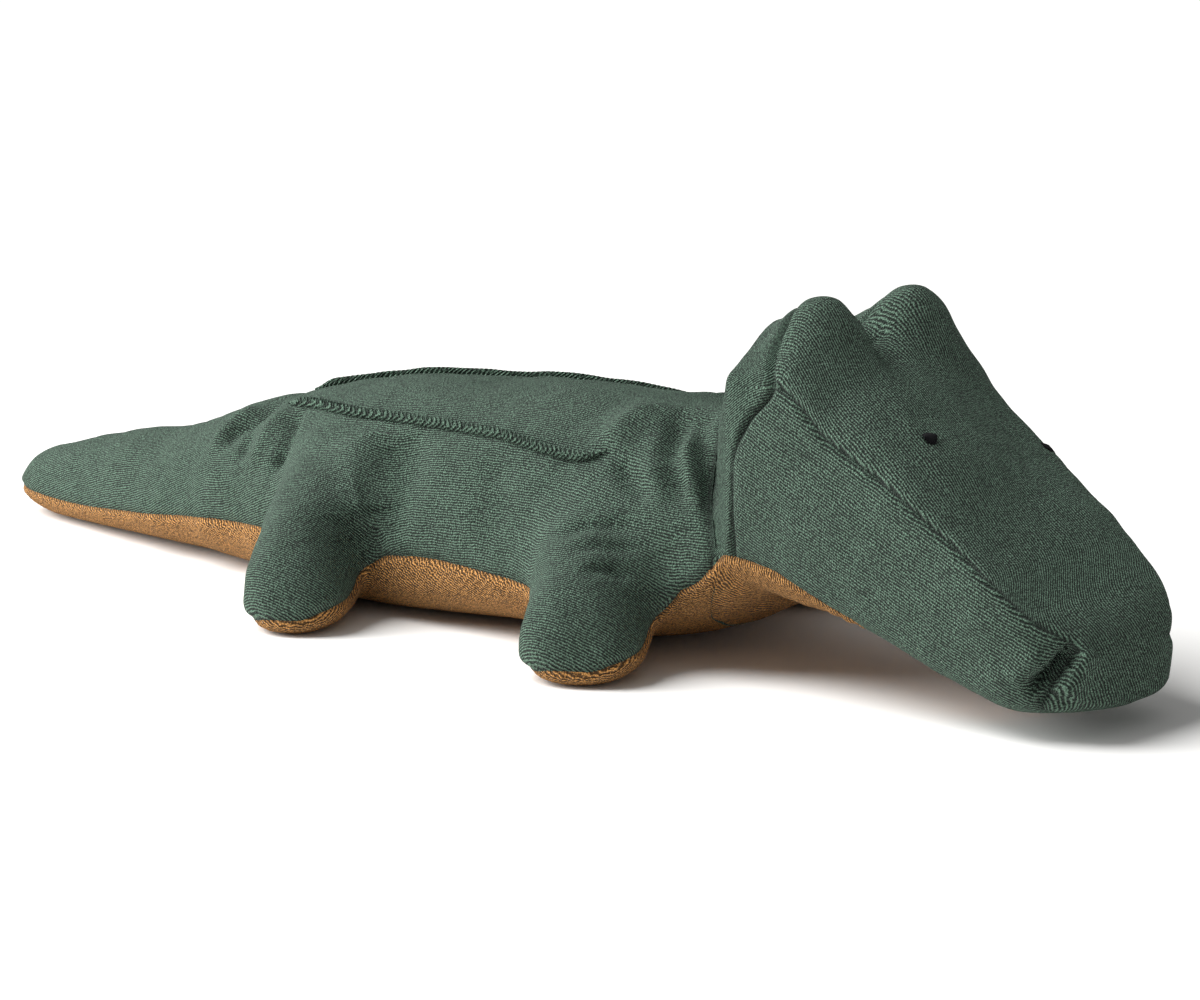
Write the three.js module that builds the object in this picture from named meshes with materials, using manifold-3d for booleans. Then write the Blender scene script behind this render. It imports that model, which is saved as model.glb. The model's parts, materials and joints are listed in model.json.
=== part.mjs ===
// A plush crocodile lying on its belly: knitted terry skins over soft stuffing.
// Millimetres, +X to the snout, +Y to the animal's left, +Z up, floor at Z = 0.
// Each stuffed form (trunk, tail, head, four legs) is a filling with its sewn skins around it.
import * as THREE from 'three';
import { mergeVertices } from 'three/addons/utils/BufferGeometryUtils.js';
import Module from 'manifold-3d';

const wasm = await Module();
wasm.setup();

// A smooth monotone curve through [place, value] pairs.
function curveThrough(pairs) {
  const slopes = pairs.map((pair, i) => {
    if (i === 0 || i === pairs.length - 1) return 0;
    const before = (pair[1] - pairs[i - 1][1]) / (pair[0] - pairs[i - 1][0]);
    const after = (pairs[i + 1][1] - pair[1]) / (pairs[i + 1][0] - pair[0]);
    return before * after > 0 ? (2 * before * after) / (before + after) : 0;
  });
  return (place) => {
    const last = pairs.length - 1;
    const here = THREE.MathUtils.clamp(place, pairs[0][0], pairs[last][0]);
    let i = 0;
    while (i < last - 1 && here > pairs[i + 1][0]) i += 1;
    const span = pairs[i + 1][0] - pairs[i][0];
    const t = (here - pairs[i][0]) / span;
    const a = 2 * t ** 3 - 3 * t ** 2 + 1;
    const b = t ** 3 - 2 * t ** 2 + t;
    const c = 3 * t ** 2 - 2 * t ** 3;
    const d = t ** 3 - t ** 2;
    return a * pairs[i][1] + b * span * slopes[i] + c * pairs[i + 1][1] + d * span * slopes[i + 1];
  };
}

// Cloth and fit
const clothThickness = 1.4;
const clearance = 0.3;
const fillingGap = 0.5;
const seamPullShare = 0.7;
const restDepth = 3;

// Trunk, from the tail root to the cheek corners
const trunkLength = 320;
const trunkHalfWidth = 72;
const backHeight = 104;
const trunkSeamHeight = 27;
const neckHalfWidth = 57;
const neckHeight = 103;
const neckSideShift = -10;
const throatHeight = 30;

// Tail
const tailLength = 186.5;
const tailRootHalfWidth = 50;
const tailRootHeight = 76;
const tailTipHeight = 13;
const tailHingeBack = 35;
const tailHingeRadius = 44;
const tailLip = 10;

// Back tucks
const tuckHeight = 4.2;
const tuckThickness = 3.2;
const tuckGap = 0.7;
const tuckShoulderSpread = 45;
const tuckLean = -9;
const tuckStart = 17;
const tuckEndBack = 88;
const tuckEnd = trunkLength - tuckEndBack;
const tuckRows = 16;
const tuckSpreadShare = curveThrough([[0, 0.38], [0.25, 0.66], [0.44, 0.78], [0.68, 0.89], [0.92, 1], [1, 1]]);
const tuckEndShare = 0.5;
const tuckOutlineShares = [[-1, 0], [1, 0], [0.95, 0.55], [0, 1], [-0.95, 0.55]];

// Legs
const rearLegHalfWidth = 23.5;
const frontLegHalfWidth = 26.5;
const legRootHeight = 72;
const legTipHeight = 10;
const legTipRadius = 22;
const legSeamHeight = 7;
const rearLegLength = 71;
const frontLegLength = 60;
const legRootDepth = 28;
const legHingeOut = 62;
const rearLegPlace = 81;
const frontLegSetback = 79;
const legForwardAngle = 30;
const legSwing = 12;

// Head, from the cheek corners to the snout tip; its hinge lies ahead of the corners
const headLength = 166;
const headHingeAhead = 29;
const headHingeRadius = 66.3;
const headRear = headHingeRadius - headHingeAhead;
const headHalfWidth = 59;
const snoutHalfWidth = 47;
const snoutCornerRadius = 36;
const jawHeight = 54;
const cheekSeamHeight = 126;
const crownAboveCheek = 17;
const crownHeight = cheekSeamHeight + crownAboveCheek;
const cheekBulge = 3;
const cheekCornerPlace = 24;
const snoutTipHeight = 15;
const chinLow = 6;
const crownLean = 5;
const browRise = 17;
const browOffset = 30;
const browReach = 16;
const browPlace = 22;
const browEase = 2.5;
const nostrilTop = 160;
const nostrilFoot = 150;
const headTurn = -7;

// Face details
const eyeRadius = 3;
const eyeThickness = 1;
const eyeOffset = 37.75;
const eyeLean = 10.75;
const eyePlace = 82;
const tackLength = 6;
const tackRadius = 1.2;
const tackTurnShare = 0.6;
const eyeOutlineShares = [[0, 0], [1, 0], [0.85, 0.6], [0.45, 0.93], [0, 1]];

// Counts of facets
const hingeFacets = 48;
const trunkRows = 14;
const trunkTurns = [12, 6];
const tailRows = 9;
const rootRows = 4;
const tailTurns = [10, 6];
const legRows = 8;
const legTurns = [8, 4];
const sweepSteps = 4;
const gussetRows = 5;
const faceRowShares = [0, 0.05, 0.1, 0.16, 0.24, 0.35, 0.47, 0.6, 0.73, 0.87];
const noseRowShares = [0, 0.35, 0.65, 0.85, 1];
const panelTurns = 3;
const eyeFacets = 12;
const tackRings = 6;

// Working sizes of the model itself
const mergeDistance = 1e-4;
const toolHeight = 600;
const probe = 0.5;

const green = 0x35493d;
const ochre = 0x93683a;
const fibre = 0xf2efe8;
const black = 0x15171a;

const radians = THREE.MathUtils.degToRad;

const mix = THREE.MathUtils.lerp;

// How the tail grows from its tip to its hinge.
const tailWidthShare = curveThrough([
  [0, 0], [0.015, 0.13], [0.05, 0.23], [0.12, 0.35], [0.25, 0.46], [0.46, 0.62], [0.65, 0.76], [0.84, 0.89], [1, 1],
]);
const tailTopShare = curveThrough([
  [0, 0], [0.015, 0.08], [0.05, 0.17], [0.12, 0.29], [0.25, 0.41], [0.46, 0.56], [0.65, 0.64], [0.84, 0.83], [1, 1],
]);
const tailLiftShare = curveThrough([[0, 1], [0.015, 0.6], [0.05, 0.25], [0.12, 0], [1, 0]]);
const tailSeamShare = curveThrough([[0, 0.48], [0.25, 0.46], [0.65, 0.66], [0.9, 0.86], [1, 0.93]]);

// How the trunk swells between tail and neck.
const swellShare = curveThrough([
  [0, 0], [0.14, 0.35], [0.3, 0.78], [0.45, 1], [0.64, 1], [0.8, 0.72], [0.92, 0.2], [1, 0],
]);
const rearRiseShare = curveThrough([[0, 0], [0.08, 0.3], [0.17, 0.55], [0.3, 0.77], [0.45, 0.88], [0.62, 1]]);
const frontRiseShare = curveThrough([[0.62, 1], [0.8, 0.9], [1, 0]]);
const throatShare = curveThrough([[0.72, 0], [0.8, 0.1], [0.86, 0.28], [0.92, 0.58], [1, 1]]);
const seamRiseShare = curveThrough([[0.78, 0], [0.86, 0.12], [0.92, 0.42], [1, 1]]);
const seamLevelShare = curveThrough([[0, 0.93], [0.12, 1], [0.35, 1.03], [0.48, 1.16], [0.6, 1.1], [0.72, 1]]);
const shiftShare = curveThrough([[0.4, 0], [0.7, 0.25], [0.9, 0.7], [1, 1]]);
const waist = 0.55;
const roundness = 2.1;
const sweepRoundness = 9;
const bellyRoundness = curveThrough([[-1, 2.2], [-0.1, 2.3], [0.1, 3.2], [0.3, 4.6], [0.45, 3.4], [0.6, 2.3], [1, 1.8]]);

// The sizes of the body's cross section at a distance along the spine from the tail hinge.
function bodySizes(along) {
  if (along < 0) {
    const t = 1 + along / tailLength;
    return {
      half: tailRootHalfWidth * tailWidthShare(t),
      top: mix(tailTipHeight, tailRootHeight, tailTopShare(t)),
      low: mix(-restDepth, tailTipHeight, tailLiftShare(t)),
      seam: trunkSeamHeight * tailSeamShare(t),
      middle: 0,
      power: bellyRoundness(along / trunkLength),
    };
  }
  const t = along / trunkLength;
  const endHalf = t < waist ? tailRootHalfWidth : neckHalfWidth;
  const top = t < waist
    ? mix(tailRootHeight, backHeight, rearRiseShare(t))
    : mix(neckHeight, backHeight, t < 0.62 ? rearRiseShare(t) : frontRiseShare(t));
  return {
    half: mix(endHalf, trunkHalfWidth, swellShare(t)),
    top,
    low: mix(-restDepth, throatHeight, throatShare(t)),
    seam: mix(trunkSeamHeight * seamLevelShare(t), jawHeight, seamRiseShare(t)),
    middle: neckSideShift * shiftShare(t),
    power: bellyRoundness(t),
  };
}

// A rounded cross section: turn 0 is the left seam, 0.5 the top, 1 the right seam, 1.5 the bottom.
function roundSection(sizes, turn, inset, seamLift) {
  const upper = turn <= 1;
  const power = 2 / (upper ? roundness : sizes.power);
  const angle = Math.PI * turn;
  const across = Math.sign(Math.cos(angle)) * Math.abs(Math.cos(angle)) ** power;
  const rise = Math.abs(Math.sin(angle)) ** power;
  const seam = sizes.seam + (upper ? seamLift : -seamLift);
  const goal = upper ? Math.max(sizes.top - inset, seam) : Math.min(sizes.low + inset, seam);
  const side = Math.max(sizes.half - inset, 0) * across;
  return { side, height: Math.max(mix(seam, goal, rise), inset) };
}

function bodyPoint(along, turn, inset, seamLift) {
  const place = Math.max(along, inset - tailLength);
  const sizes = bodySizes(place);
  const { side, height } = roundSection(sizes, turn, inset, seamLift);
  return new THREE.Vector3(place, sizes.middle + side, height);
}

// Leg sections, given along the leg from its hinge (0) to its tip (1).
const legTopShare = curveThrough([[-0.4, 1.12], [0, 1], [0.3, 0.84], [0.58, 0.64], [0.8, 0.45], [0.93, 0.24], [1, 0]]);
const soleRoundness = 2.5;
const legLiftShare = curveThrough([[0.86, 0], [0.95, 0.3], [1, 0.5]]);
const legSeamShare = curveThrough([[-0.4, 1], [0, 0.95], [0.28, 0.6], [0.5, 0.15], [0.66, 0], [0.9, 0]]);

function legSizes(out, length, halfWidth) {
  const t = out / length;
  const past = Math.max(out - (length - legTipRadius), 0);
  const round = Math.sqrt(Math.max(legTipRadius ** 2 - past ** 2, 0));
  const low = mix(-restDepth, legTipHeight, legLiftShare(t));
  const top = mix(legTipHeight, legRootHeight, legTopShare(t));
  const seam = mix(legSeamHeight, trunkSeamHeight, legSeamShare(t));
  const half = halfWidth - legTipRadius + round;
  return { half, top, low, seam: THREE.MathUtils.clamp(seam, low, top), power: soleRoundness };
}

function legPoint(length, halfWidth) {
  return (out, turn, inset, seamLift) => {
    const place = Math.min(out, length - inset);
    const { side, height } = roundSection(legSizes(place, length, halfWidth), turn, inset, seamLift);
    return new THREE.Vector3(place, side, height);
  };
}

// Head sections, given from the cheek corners; the rear follows the hinge's round.
const rearCrownShare = curveThrough([[-1, 0.05], [-0.8, 0.43], [-0.54, 0.74], [-0.27, 0.92], [0, 0.97]]);
const crownShare = curveThrough([
  [0, 0.97], [0.14, 1], [0.32, 0.88], [0.52, 0.69], [0.72, 0.47], [0.865, 0.33], [0.94, 0.26], [0.98, 0.2],
  [0.995, 0.12], [1, 0],
]);
const cheekShare = curveThrough([
  [0, 0.98], [0.16, 1], [0.32, 0.83], [0.42, 0.757], [0.52, 0.676], [0.625, 0.577], [0.726, 0.485], [0.82, 0.385],
  [0.893, 0.3], [0.958, 0.225], [0.99, 0.12], [1, 0],
]);
const jawShare = curveThrough([
  [0, 1], [0.23, 0.87], [0.41, 0.69], [0.565, 0.49], [0.685, 0.27], [0.774, 0.12], [0.893, 0.04], [0.95, 0],
]);
const chinShare = curveThrough([[0, 1], [0.24, 0.86], [0.41, 0.6], [0.54, 0.32], [0.64, 0.12], [0.75, 0], [0.85, 0]]);
const chinTipShare = curveThrough([[0.82, 0], [0.9, 0.2], [0.96, 0.5], [0.99, 0.76], [1, 1]]);
const leanShare = curveThrough([[0.2, 0], [0.4, 0.9], [0.52, 1], [0.65, 0.8], [0.9, 0]]);
const rearCheekShare = 0.48;
const snoutStartShare = 0.8;
const crownRoundness = 2.15;
const chinRoundness = 1.8;
const gussetEdgeShare = curveThrough([
  [0, -0.08], [1, 0.17], [1.55, 0.25], [1.8, 0.54], [2, 1], [2.15, 0.92], [2.4, 0.7], [2.7, 0.54], [3, 0.42],
]);

function headSizes(along) {
  const t = along / headLength;
  if (along < 0) {
    const back = along / headRear;
    const neck = bodySizes(trunkLength + along);
    return {
      half: headHalfWidth,
      crown: mix(neckHeight, crownHeight, rearCrownShare(back)),
      cheek: mix(jawHeight, cheekSeamHeight, mix(cheekShare(0), rearCheekShare, -back)),
      jaw: neck.seam,
      chin: neck.low,
      power: neck.power,
    };
  }
  const past = Math.max(along - (headLength - snoutCornerRadius), 0);
  const corner = Math.sqrt(Math.max(snoutCornerRadius ** 2 - past ** 2, 0)) - snoutCornerRadius;
  return {
    half: mix(headHalfWidth, snoutHalfWidth, Math.min(t / snoutStartShare, 1)) + corner,
    crown: mix(snoutTipHeight, crownHeight, crownShare(t)),
    cheek: mix(snoutTipHeight, cheekSeamHeight, cheekShare(t)),
    jaw: mix(snoutTipHeight, jawHeight, jawShare(t)),
    chin: mix(mix(chinLow, throatHeight, chinShare(t)), snoutTipHeight, chinTipShare(t)),
    power: chinRoundness,
  };
}

// Around the head: 0 is under the chin, 1 the left jaw seam, 2 the left cheek seam, 3 the crown,
// 4 and 5 the same seams on the right, and 6 the chin again.
function headPoint(along, around, inset) {
  const place = THREE.MathUtils.clamp(along, inset - headRear, headLength - inset);
  const sizes = headSizes(place);
  const reach = (headHingeRadius - inset) ** 2 - (place - headHingeAhead) ** 2;
  const most = place < headHingeAhead ? Math.sqrt(Math.max(reach, 0)) : headHingeRadius;
  const full = Math.max(sizes.half - inset, probe);
  const half = Math.min(full, most);
  const v = Math.min(around, 6 - around);
  const way = around <= 3 ? 1 : -1;
  const crown = Math.max(sizes.crown - inset, sizes.cheek);
  const chin = Math.min(sizes.chin + inset, sizes.jaw);
  const power = 2 / sizes.power;
  const chinAt = (side) => mix(sizes.jaw, chin, Math.sqrt(1 - (side / full) ** (2 / power)) ** power);
  let side;
  let height;
  if (v <= 1) {
    side = half * Math.sin((Math.PI / 2) * v) ** power;
    height = chinAt(side);
  } else if (v <= 2) {
    const fade = (sizes.cheek - sizes.jaw) / (cheekSeamHeight - jawHeight);
    side = Math.min(half + cheekBulge * fade * Math.sin(Math.PI * (v - 1)), most);
    height = mix(chinAt(half), sizes.cheek, v - 1);
  } else {
    const angle = (Math.PI / 2) * (v - 2);
    side = half * Math.cos(angle) ** (2 / crownRoundness);
    height = mix(sizes.cheek, crown, Math.sin(angle) ** (2 / crownRoundness));
    height += browAt(place, side, inset) - way * leanAt(place, side / full);
  }
  return new THREE.Vector3(place - headHingeAhead, way * side, Math.max(height, inset));
}

// How far the stuffing leans to the right under the crown, most at a middle share of its half width.
function leanAt(place, share) {
  const most = 2 / (3 * Math.sqrt(3));
  return (crownLean * leanShare(place / headLength) * share * (1 - share ** 2)) / most;
}

// A brow's rise over the crown at a place and distance from the middle.
function browAt(place, side, inset) {
  const away = ((place - browPlace) ** 2 + (side - browOffset) ** 2) / browReach ** 2;
  return Math.max(browRise - browEase * inset, 0) * Math.exp(-away);
}

// The turn round the head of a point of the crown, given its distance from the middle.
function crownTurn(place, offset) {
  return 2 + Math.acos((offset / headSizes(place).half) ** (crownRoundness / 2)) / (Math.PI / 2);
}

const gussetEdge = (around) => cheekCornerPlace * gussetEdgeShare(Math.min(around, 6 - around));
const groove = (around) => mix(nostrilFoot, nostrilTop, THREE.MathUtils.clamp(Math.min(around, 6 - around) - 1, 0, 1));

// The place along the head of a grid row: -1 the rear line, 0 the gusset's edge,
// 1 the nostril groove and 2 the snout tip.
function headPlace(row, around) {
  const edge = gussetEdge(around);
  if (row < 0) return mix(-headRear, edge, 1 - Math.cos((Math.PI / 2) * (row + 1)));
  return row < 1 ? mix(edge, groove(around), row) : mix(groove(around), headLength, row - 1);
}

// A closed body between an outer and an inner grid of points; a sealed start is a first row
// that has already closed on itself.
function closedGrid(outer, inner, sealedStart = false) {
  const last = outer.length - 1;
  const edge = outer[0].length - 1;
  const positions = [];
  const quad = (a, b, c, d) => {
    for (const p of [a, b, c, a, c, d]) positions.push(p.x, p.y, p.z);
  };
  for (let i = 0; i < last; i += 1) {
    for (let j = 0; j < edge; j += 1) {
      const k = j + 1;
      quad(outer[i][j], outer[i + 1][j], outer[i + 1][k], outer[i][k]);
      quad(inner[i][j], inner[i][k], inner[i + 1][k], inner[i + 1][j]);
    }
    quad(outer[i][0], inner[i][0], inner[i + 1][0], outer[i + 1][0]);
    quad(outer[i][edge], outer[i + 1][edge], inner[i + 1][edge], inner[i][edge]);
  }
  for (let j = 0; j < edge; j += 1) {
    const k = j + 1;
    if (!sealedStart) quad(outer[0][j], outer[0][k], inner[0][k], inner[0][j]);
    quad(outer[last][j], inner[last][j], inner[last][k], outer[last][k]);
  }
  return closedGeometry(positions);
}

// A closed body inside a grid of rings, with a flat fan over each open end.
function filledGrid(rings, sealedStart = false) {
  const last = rings.length - 1;
  const columns = rings[0].length;
  const centreOf = (ring) => ring.reduce((sum, p) => sum.add(p), new THREE.Vector3()).divideScalar(columns);
  const start = centreOf(rings[0]);
  const end = centreOf(rings[last]);
  const positions = [];
  const triangle = (a, b, c) => {
    for (const p of [a, b, c]) positions.push(p.x, p.y, p.z);
  };
  for (let j = 0; j < columns; j += 1) {
    const k = (j + 1) % columns;
    for (let i = 0; i < last; i += 1) {
      triangle(rings[i][j], rings[i + 1][j], rings[i + 1][k]);
      triangle(rings[i][j], rings[i + 1][k], rings[i][k]);
    }
    if (!sealedStart) triangle(start, rings[0][j], rings[0][k]);
    triangle(end, rings[last][k], rings[last][j]);
  }
  return closedGeometry(positions);
}

// Merges the corners, drops the faces without area and turns the body right side out.
function closedGeometry(positions) {
  const loose = new THREE.BufferGeometry();
  loose.setAttribute('position', new THREE.Float32BufferAttribute(positions, 3));
  const merged = mergeVertices(loose, mergeDistance);
  const index = merged.getIndex().array;
  const place = merged.getAttribute('position');
  const corner = (i) => new THREE.Vector3().fromBufferAttribute(place, i);
  const kept = [];
  let volume = 0;
  for (let i = 0; i < index.length; i += 3) {
    const [a, b, c] = [index[i], index[i + 1], index[i + 2]];
    if (a !== b && b !== c && a !== c) {
      kept.push(a, b, c);
      volume += corner(a).dot(corner(b).cross(corner(c)));
    }
  }
  merged.setIndex(volume < 0 ? kept.reverse() : kept);
  return merged;
}

function toSolid(geometry) {
  const bare = geometry.clone();
  bare.deleteAttribute('normal');
  bare.deleteAttribute('uv');
  const merged = mergeVertices(bare, mergeDistance);
  return new wasm.Manifold(new wasm.Mesh({
    numProp: 3,
    vertProperties: new Float32Array(merged.getAttribute('position').array),
    triVerts: new Uint32Array(merged.getIndex().array),
  }));
}

function toGeometry(solid) {
  const mesh = solid.getMesh();
  const geometry = new THREE.BufferGeometry();
  geometry.setAttribute('position', new THREE.BufferAttribute(new Float32Array(mesh.vertProperties), 3));
  geometry.setIndex(new THREE.BufferAttribute(new Uint32Array(mesh.triVerts), 1));
  return geometry;
}

const cutBy = (geometry, tool) => toGeometry(toSolid(geometry).subtract(tool));
const keptIn = (geometry, tool) => toGeometry(toSolid(geometry).intersect(tool));

// An upright cylinder round a hinge; a hollow one is as wide as its facets need.
function hingeRound(radius, x, y, hollow) {
  const reach = hollow ? (radius + clearance) / Math.cos(Math.PI / hingeFacets) : radius;
  const round = new THREE.CylinderGeometry(reach, reach, toolHeight, hingeFacets);
  return toSolid(round.rotateX(Math.PI / 2).translate(x, y, 0));
}

// A tall box from one place along the spine to another.
function slab(from, to) {
  const box = new THREE.BoxGeometry(to - from, toolHeight, toolHeight);
  return toSolid(box.translate((from + to) / 2, 0, 0));
}

const steps = (count, from = 0, to = 1) => Array.from({ length: count + 1 }, (_, i) => mix(from, to, i / count));
const gridOf = (point, places, turns, ...rest) => places.map((u) => turns.map((v) => point(u, v, ...rest)));

// The two skins and the filling of a round form: sewn together along the widest line.
function roundForm(point, places, turns) {
  const upper = steps(turns[0], 0, 1);
  const lower = steps(turns[1], 1, 2);
  const ring = [...steps(turns[0], 0, 1), ...steps(turns[1], 1, 2).slice(1, -1)];
  const skinOf = (strip, lift) => closedGrid(
    gridOf(point, places, strip, 0, lift),
    gridOf(point, places, strip, clothThickness, lift),
  );
  return {
    upper: skinOf(upper, clearance / 2),
    lower: skinOf(lower, clearance / 2),
    filling: filledGrid(gridOf(point, places, ring, clothThickness + fillingGap, 0)),
  };
}

function mesh(name, geometry, colour, roughness = 0.95) {
  const material = new THREE.MeshStandardMaterial({ color: colour, roughness, metalness: 0 });
  geometry.computeVertexNormals();
  const piece = new THREE.Mesh(geometry, material);
  piece.name = name;
  return piece;
}

const trunkPlaces = () => steps(trunkRows, tailLip - tailHingeBack, trunkLength);

function headHinge() {
  const turn = radians(headTurn);
  return [trunkLength + headHingeAhead * Math.cos(turn), neckSideShift + headHingeAhead * Math.sin(turn)];
}

// Trunk: everything between the two hinge rounds.
function trunk() {
  const group = new THREE.Group();
  const form = roundForm(bodyPoint, trunkPlaces(), trunkTurns);
  const [hingeX, hingeY] = headHinge();
  const tool = hingeRound(tailHingeRadius, -tailHingeBack, 0, true)
    .add(hingeRound(headHingeRadius, hingeX, hingeY, true));
  group.add(mesh('back_skin', cutBy(form.upper, tool), green));
  group.add(mesh('belly_skin', cutBy(form.lower, tool), ochre));
  group.add(mesh('trunk_filling', cutBy(form.filling, tool), fibre));
  group.add(mesh('right_back_tuck', tuck(-1), green));
  group.add(mesh('left_back_tuck', tuck(1), green));
  return group;
}

// A back tuck: a stitched fold that runs on the skin from the tail root to the shoulder.
function tuck(way) {
  const rings = steps(tuckRows, tuckStart, tuckEnd).map((along, i) => {
    const t = i / tuckRows;
    const offset = way * tuckShoulderSpread * tuckSpreadShare(t) + tuckLean;
    const taper = Math.min(1, tuckEndShare + Math.min(t, 1 - t) * tuckRows * tuckEndShare);
    const { point, normal } = onBody(along, offset);
    const across = new THREE.Vector3(0, normal.z, -normal.y).normalize();
    return tuckOutlineShares.map(([sideShare, heightShare]) => point.clone()
      .addScaledVector(normal, tuckGap + tuckHeight * taper * heightShare)
      .addScaledVector(across, (tuckThickness / 2) * taper * sideShare));
  });
  return filledGrid(rings);
}

// The skin point and outward normal at a distance along the spine and an offset from it.
function onBody(along, offset) {
  const { half, middle } = bodySizes(along);
  const side = offset - middle;
  const quarter = Math.acos((Math.abs(side) / half) ** (roundness / 2)) / Math.PI;
  const turn = side > 0 ? quarter : 1 - quarter;
  return surfaceAt((u, v) => bodyPoint(u, v, 0, clearance / 2), along, turn);
}

// A surface's point and outward normal.
function surfaceAt(point, u, v) {
  const here = point(u, v);
  const ahead = point(u + probe, v).sub(point(u - probe, v));
  const over = point(u, v + probe / trunkHalfWidth).sub(point(u, v - probe / trunkHalfWidth));
  return { point: here, normal: over.cross(ahead).normalize() };
}

// Tail: behind its hinge, with a round root that turns inside the trunk.
function tail() {
  const group = new THREE.Group();
  const form = roundForm(bodyPoint, tailPlaces(), tailTurns);
  const kept = hingeRound(tailHingeRadius, -tailHingeBack, 0, false).add(slab(-2 * tailLength, -tailHingeBack));
  group.add(mesh('tail_top_skin', keptIn(form.upper, kept), green));
  group.add(mesh('tail_under_skin', keptIn(form.lower, kept), ochre));
  group.add(mesh('tail_filling', keptIn(form.filling, kept), fibre));
  return group;
}

function tailPlaces() {
  const free = steps(tailRows, 1, 0).map((t) => (
    -mix(tailHingeBack, tailLength, Math.sin((Math.PI / 2) * t))
  ));
  const root = steps(rootRows, -tailHingeBack, tailHingeRadius + tailLip - tailHingeBack);
  return [...free, ...root.slice(1)];
}

// A leg: one stuffed paddle on the trunk's flank, cut back where the trunk meets it as it swings.
function leg(name, way, place, length, halfWidth) {
  const group = new THREE.Group();
  group.position.set(place, way * legHingeOut, 0);
  const direction = new THREE.Matrix4().makeRotationZ(way * radians(90 - legForwardAngle));
  const point = legPoint(length, halfWidth);
  const placed = (...rest) => point(...rest).applyMatrix4(direction);
  const bent = steps(legRows, 0, 1).map((t) => mix(-legRootDepth, length, Math.sin((Math.PI / 2) * t)));
  const form = roundForm(placed, bent, legTurns);
  const tool = trunkSweep(place, way * legHingeOut);
  group.add(mesh(`${name}_top_skin`, cutBy(form.upper, tool), green));
  group.add(mesh(`${name}_sole_skin`, cutBy(form.lower, tool), ochre));
  group.add(mesh(`${name}_filling`, cutBy(form.filling, tool), fibre));
  return group;
}

// The room that the trunk takes, with what lies under its sides, seen from a leg that swings.
function trunkSweep(x, y) {
  const grown = (along, turn) => {
    const sizes = { ...bodySizes(along), power: sweepRoundness };
    const { side, height } = roundSection(sizes, turn, -clearance, 0);
    return new THREE.Vector3(along, sizes.middle + side, height);
  };
  const ring = [...steps(trunkTurns[0], 0, 1), ...steps(trunkTurns[1], 1, 2).slice(1, -1)];
  const body = filledGrid(gridOf(grown, trunkPlaces(), ring));
  const turned = steps(sweepSteps, -legSwing, legSwing).map((angle) => (
    toSolid(body.clone().translate(-x, -y, 0).rotateZ(radians(angle)))
  ));
  return turned.reduce((sum, solid) => sum.add(solid));
}

// The head's grid, which its panels and its filling share.
const browTurn = crownTurn(browPlace, browOffset);
const halfTurns = [
  ...steps(panelTurns, 0, 1), ...steps(panelTurns, 1, 2).slice(1), ...steps(panelTurns, 2, browTurn).slice(1),
  (browTurn + 3) / 2, 3,
];
const headTurns = [...halfTurns, ...halfTurns.slice(1, -1).reverse().map((turn) => 6 - turn)];
const headRows = [...steps(gussetRows, -1, 0).slice(0, -1), ...faceRowShares, ...noseRowShares.map((t) => 1 + t)];
const headAt = (i, j, inset) => headPoint(headPlace(headRows[i], headTurns[j]), headTurns[j], inset);

// Head: panels sewn round one filling, closed behind by the gusset that turns inside the neck.
function head() {
  const group = new THREE.Group();
  const [hingeX, hingeY] = headHinge();
  group.position.set(hingeX, hingeY, 0);
  group.rotation.z = radians(headTurn);
  const onTop = (around) => around > 2 && around < 4;
  const atSide = (around) => around > 1 && around < 5;
  const inset = clothThickness + fillingGap;
  const rings = headRows.map((_, i) => headTurns.map((__, j) => headAt(i, j, inset)));
  const crownCovers = (row, around) => (row > 0 && onTop(around)) || (row > 1 && atSide(around));
  const cheekCovers = (row, around, from) => row > 0 && row < 1 && around > from && around < from + 1;
  group.add(mesh('head_back_gusset', headPanel((row, around) => row < 0 && atSide(around)), green));
  group.add(mesh('crown_panel', headPanel(crownCovers), green));
  group.add(mesh('right_cheek_panel', headPanel((row, around) => cheekCovers(row, around, 4)), green));
  group.add(mesh('left_cheek_panel', headPanel((row, around) => cheekCovers(row, around, 1)), green));
  group.add(mesh('chin_panel', headPanel((row, around) => !atSide(around)), ochre));
  group.add(mesh('head_filling', filledGrid(rings, true), fibre));
  for (const [side, way] of [['right', -1], ['left', 1]]) {
    group.add(eye(`${side}_eye`, way));
    group.add(tack(`${side}_nostril_tack`, way));
  }
  return group;
}

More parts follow.
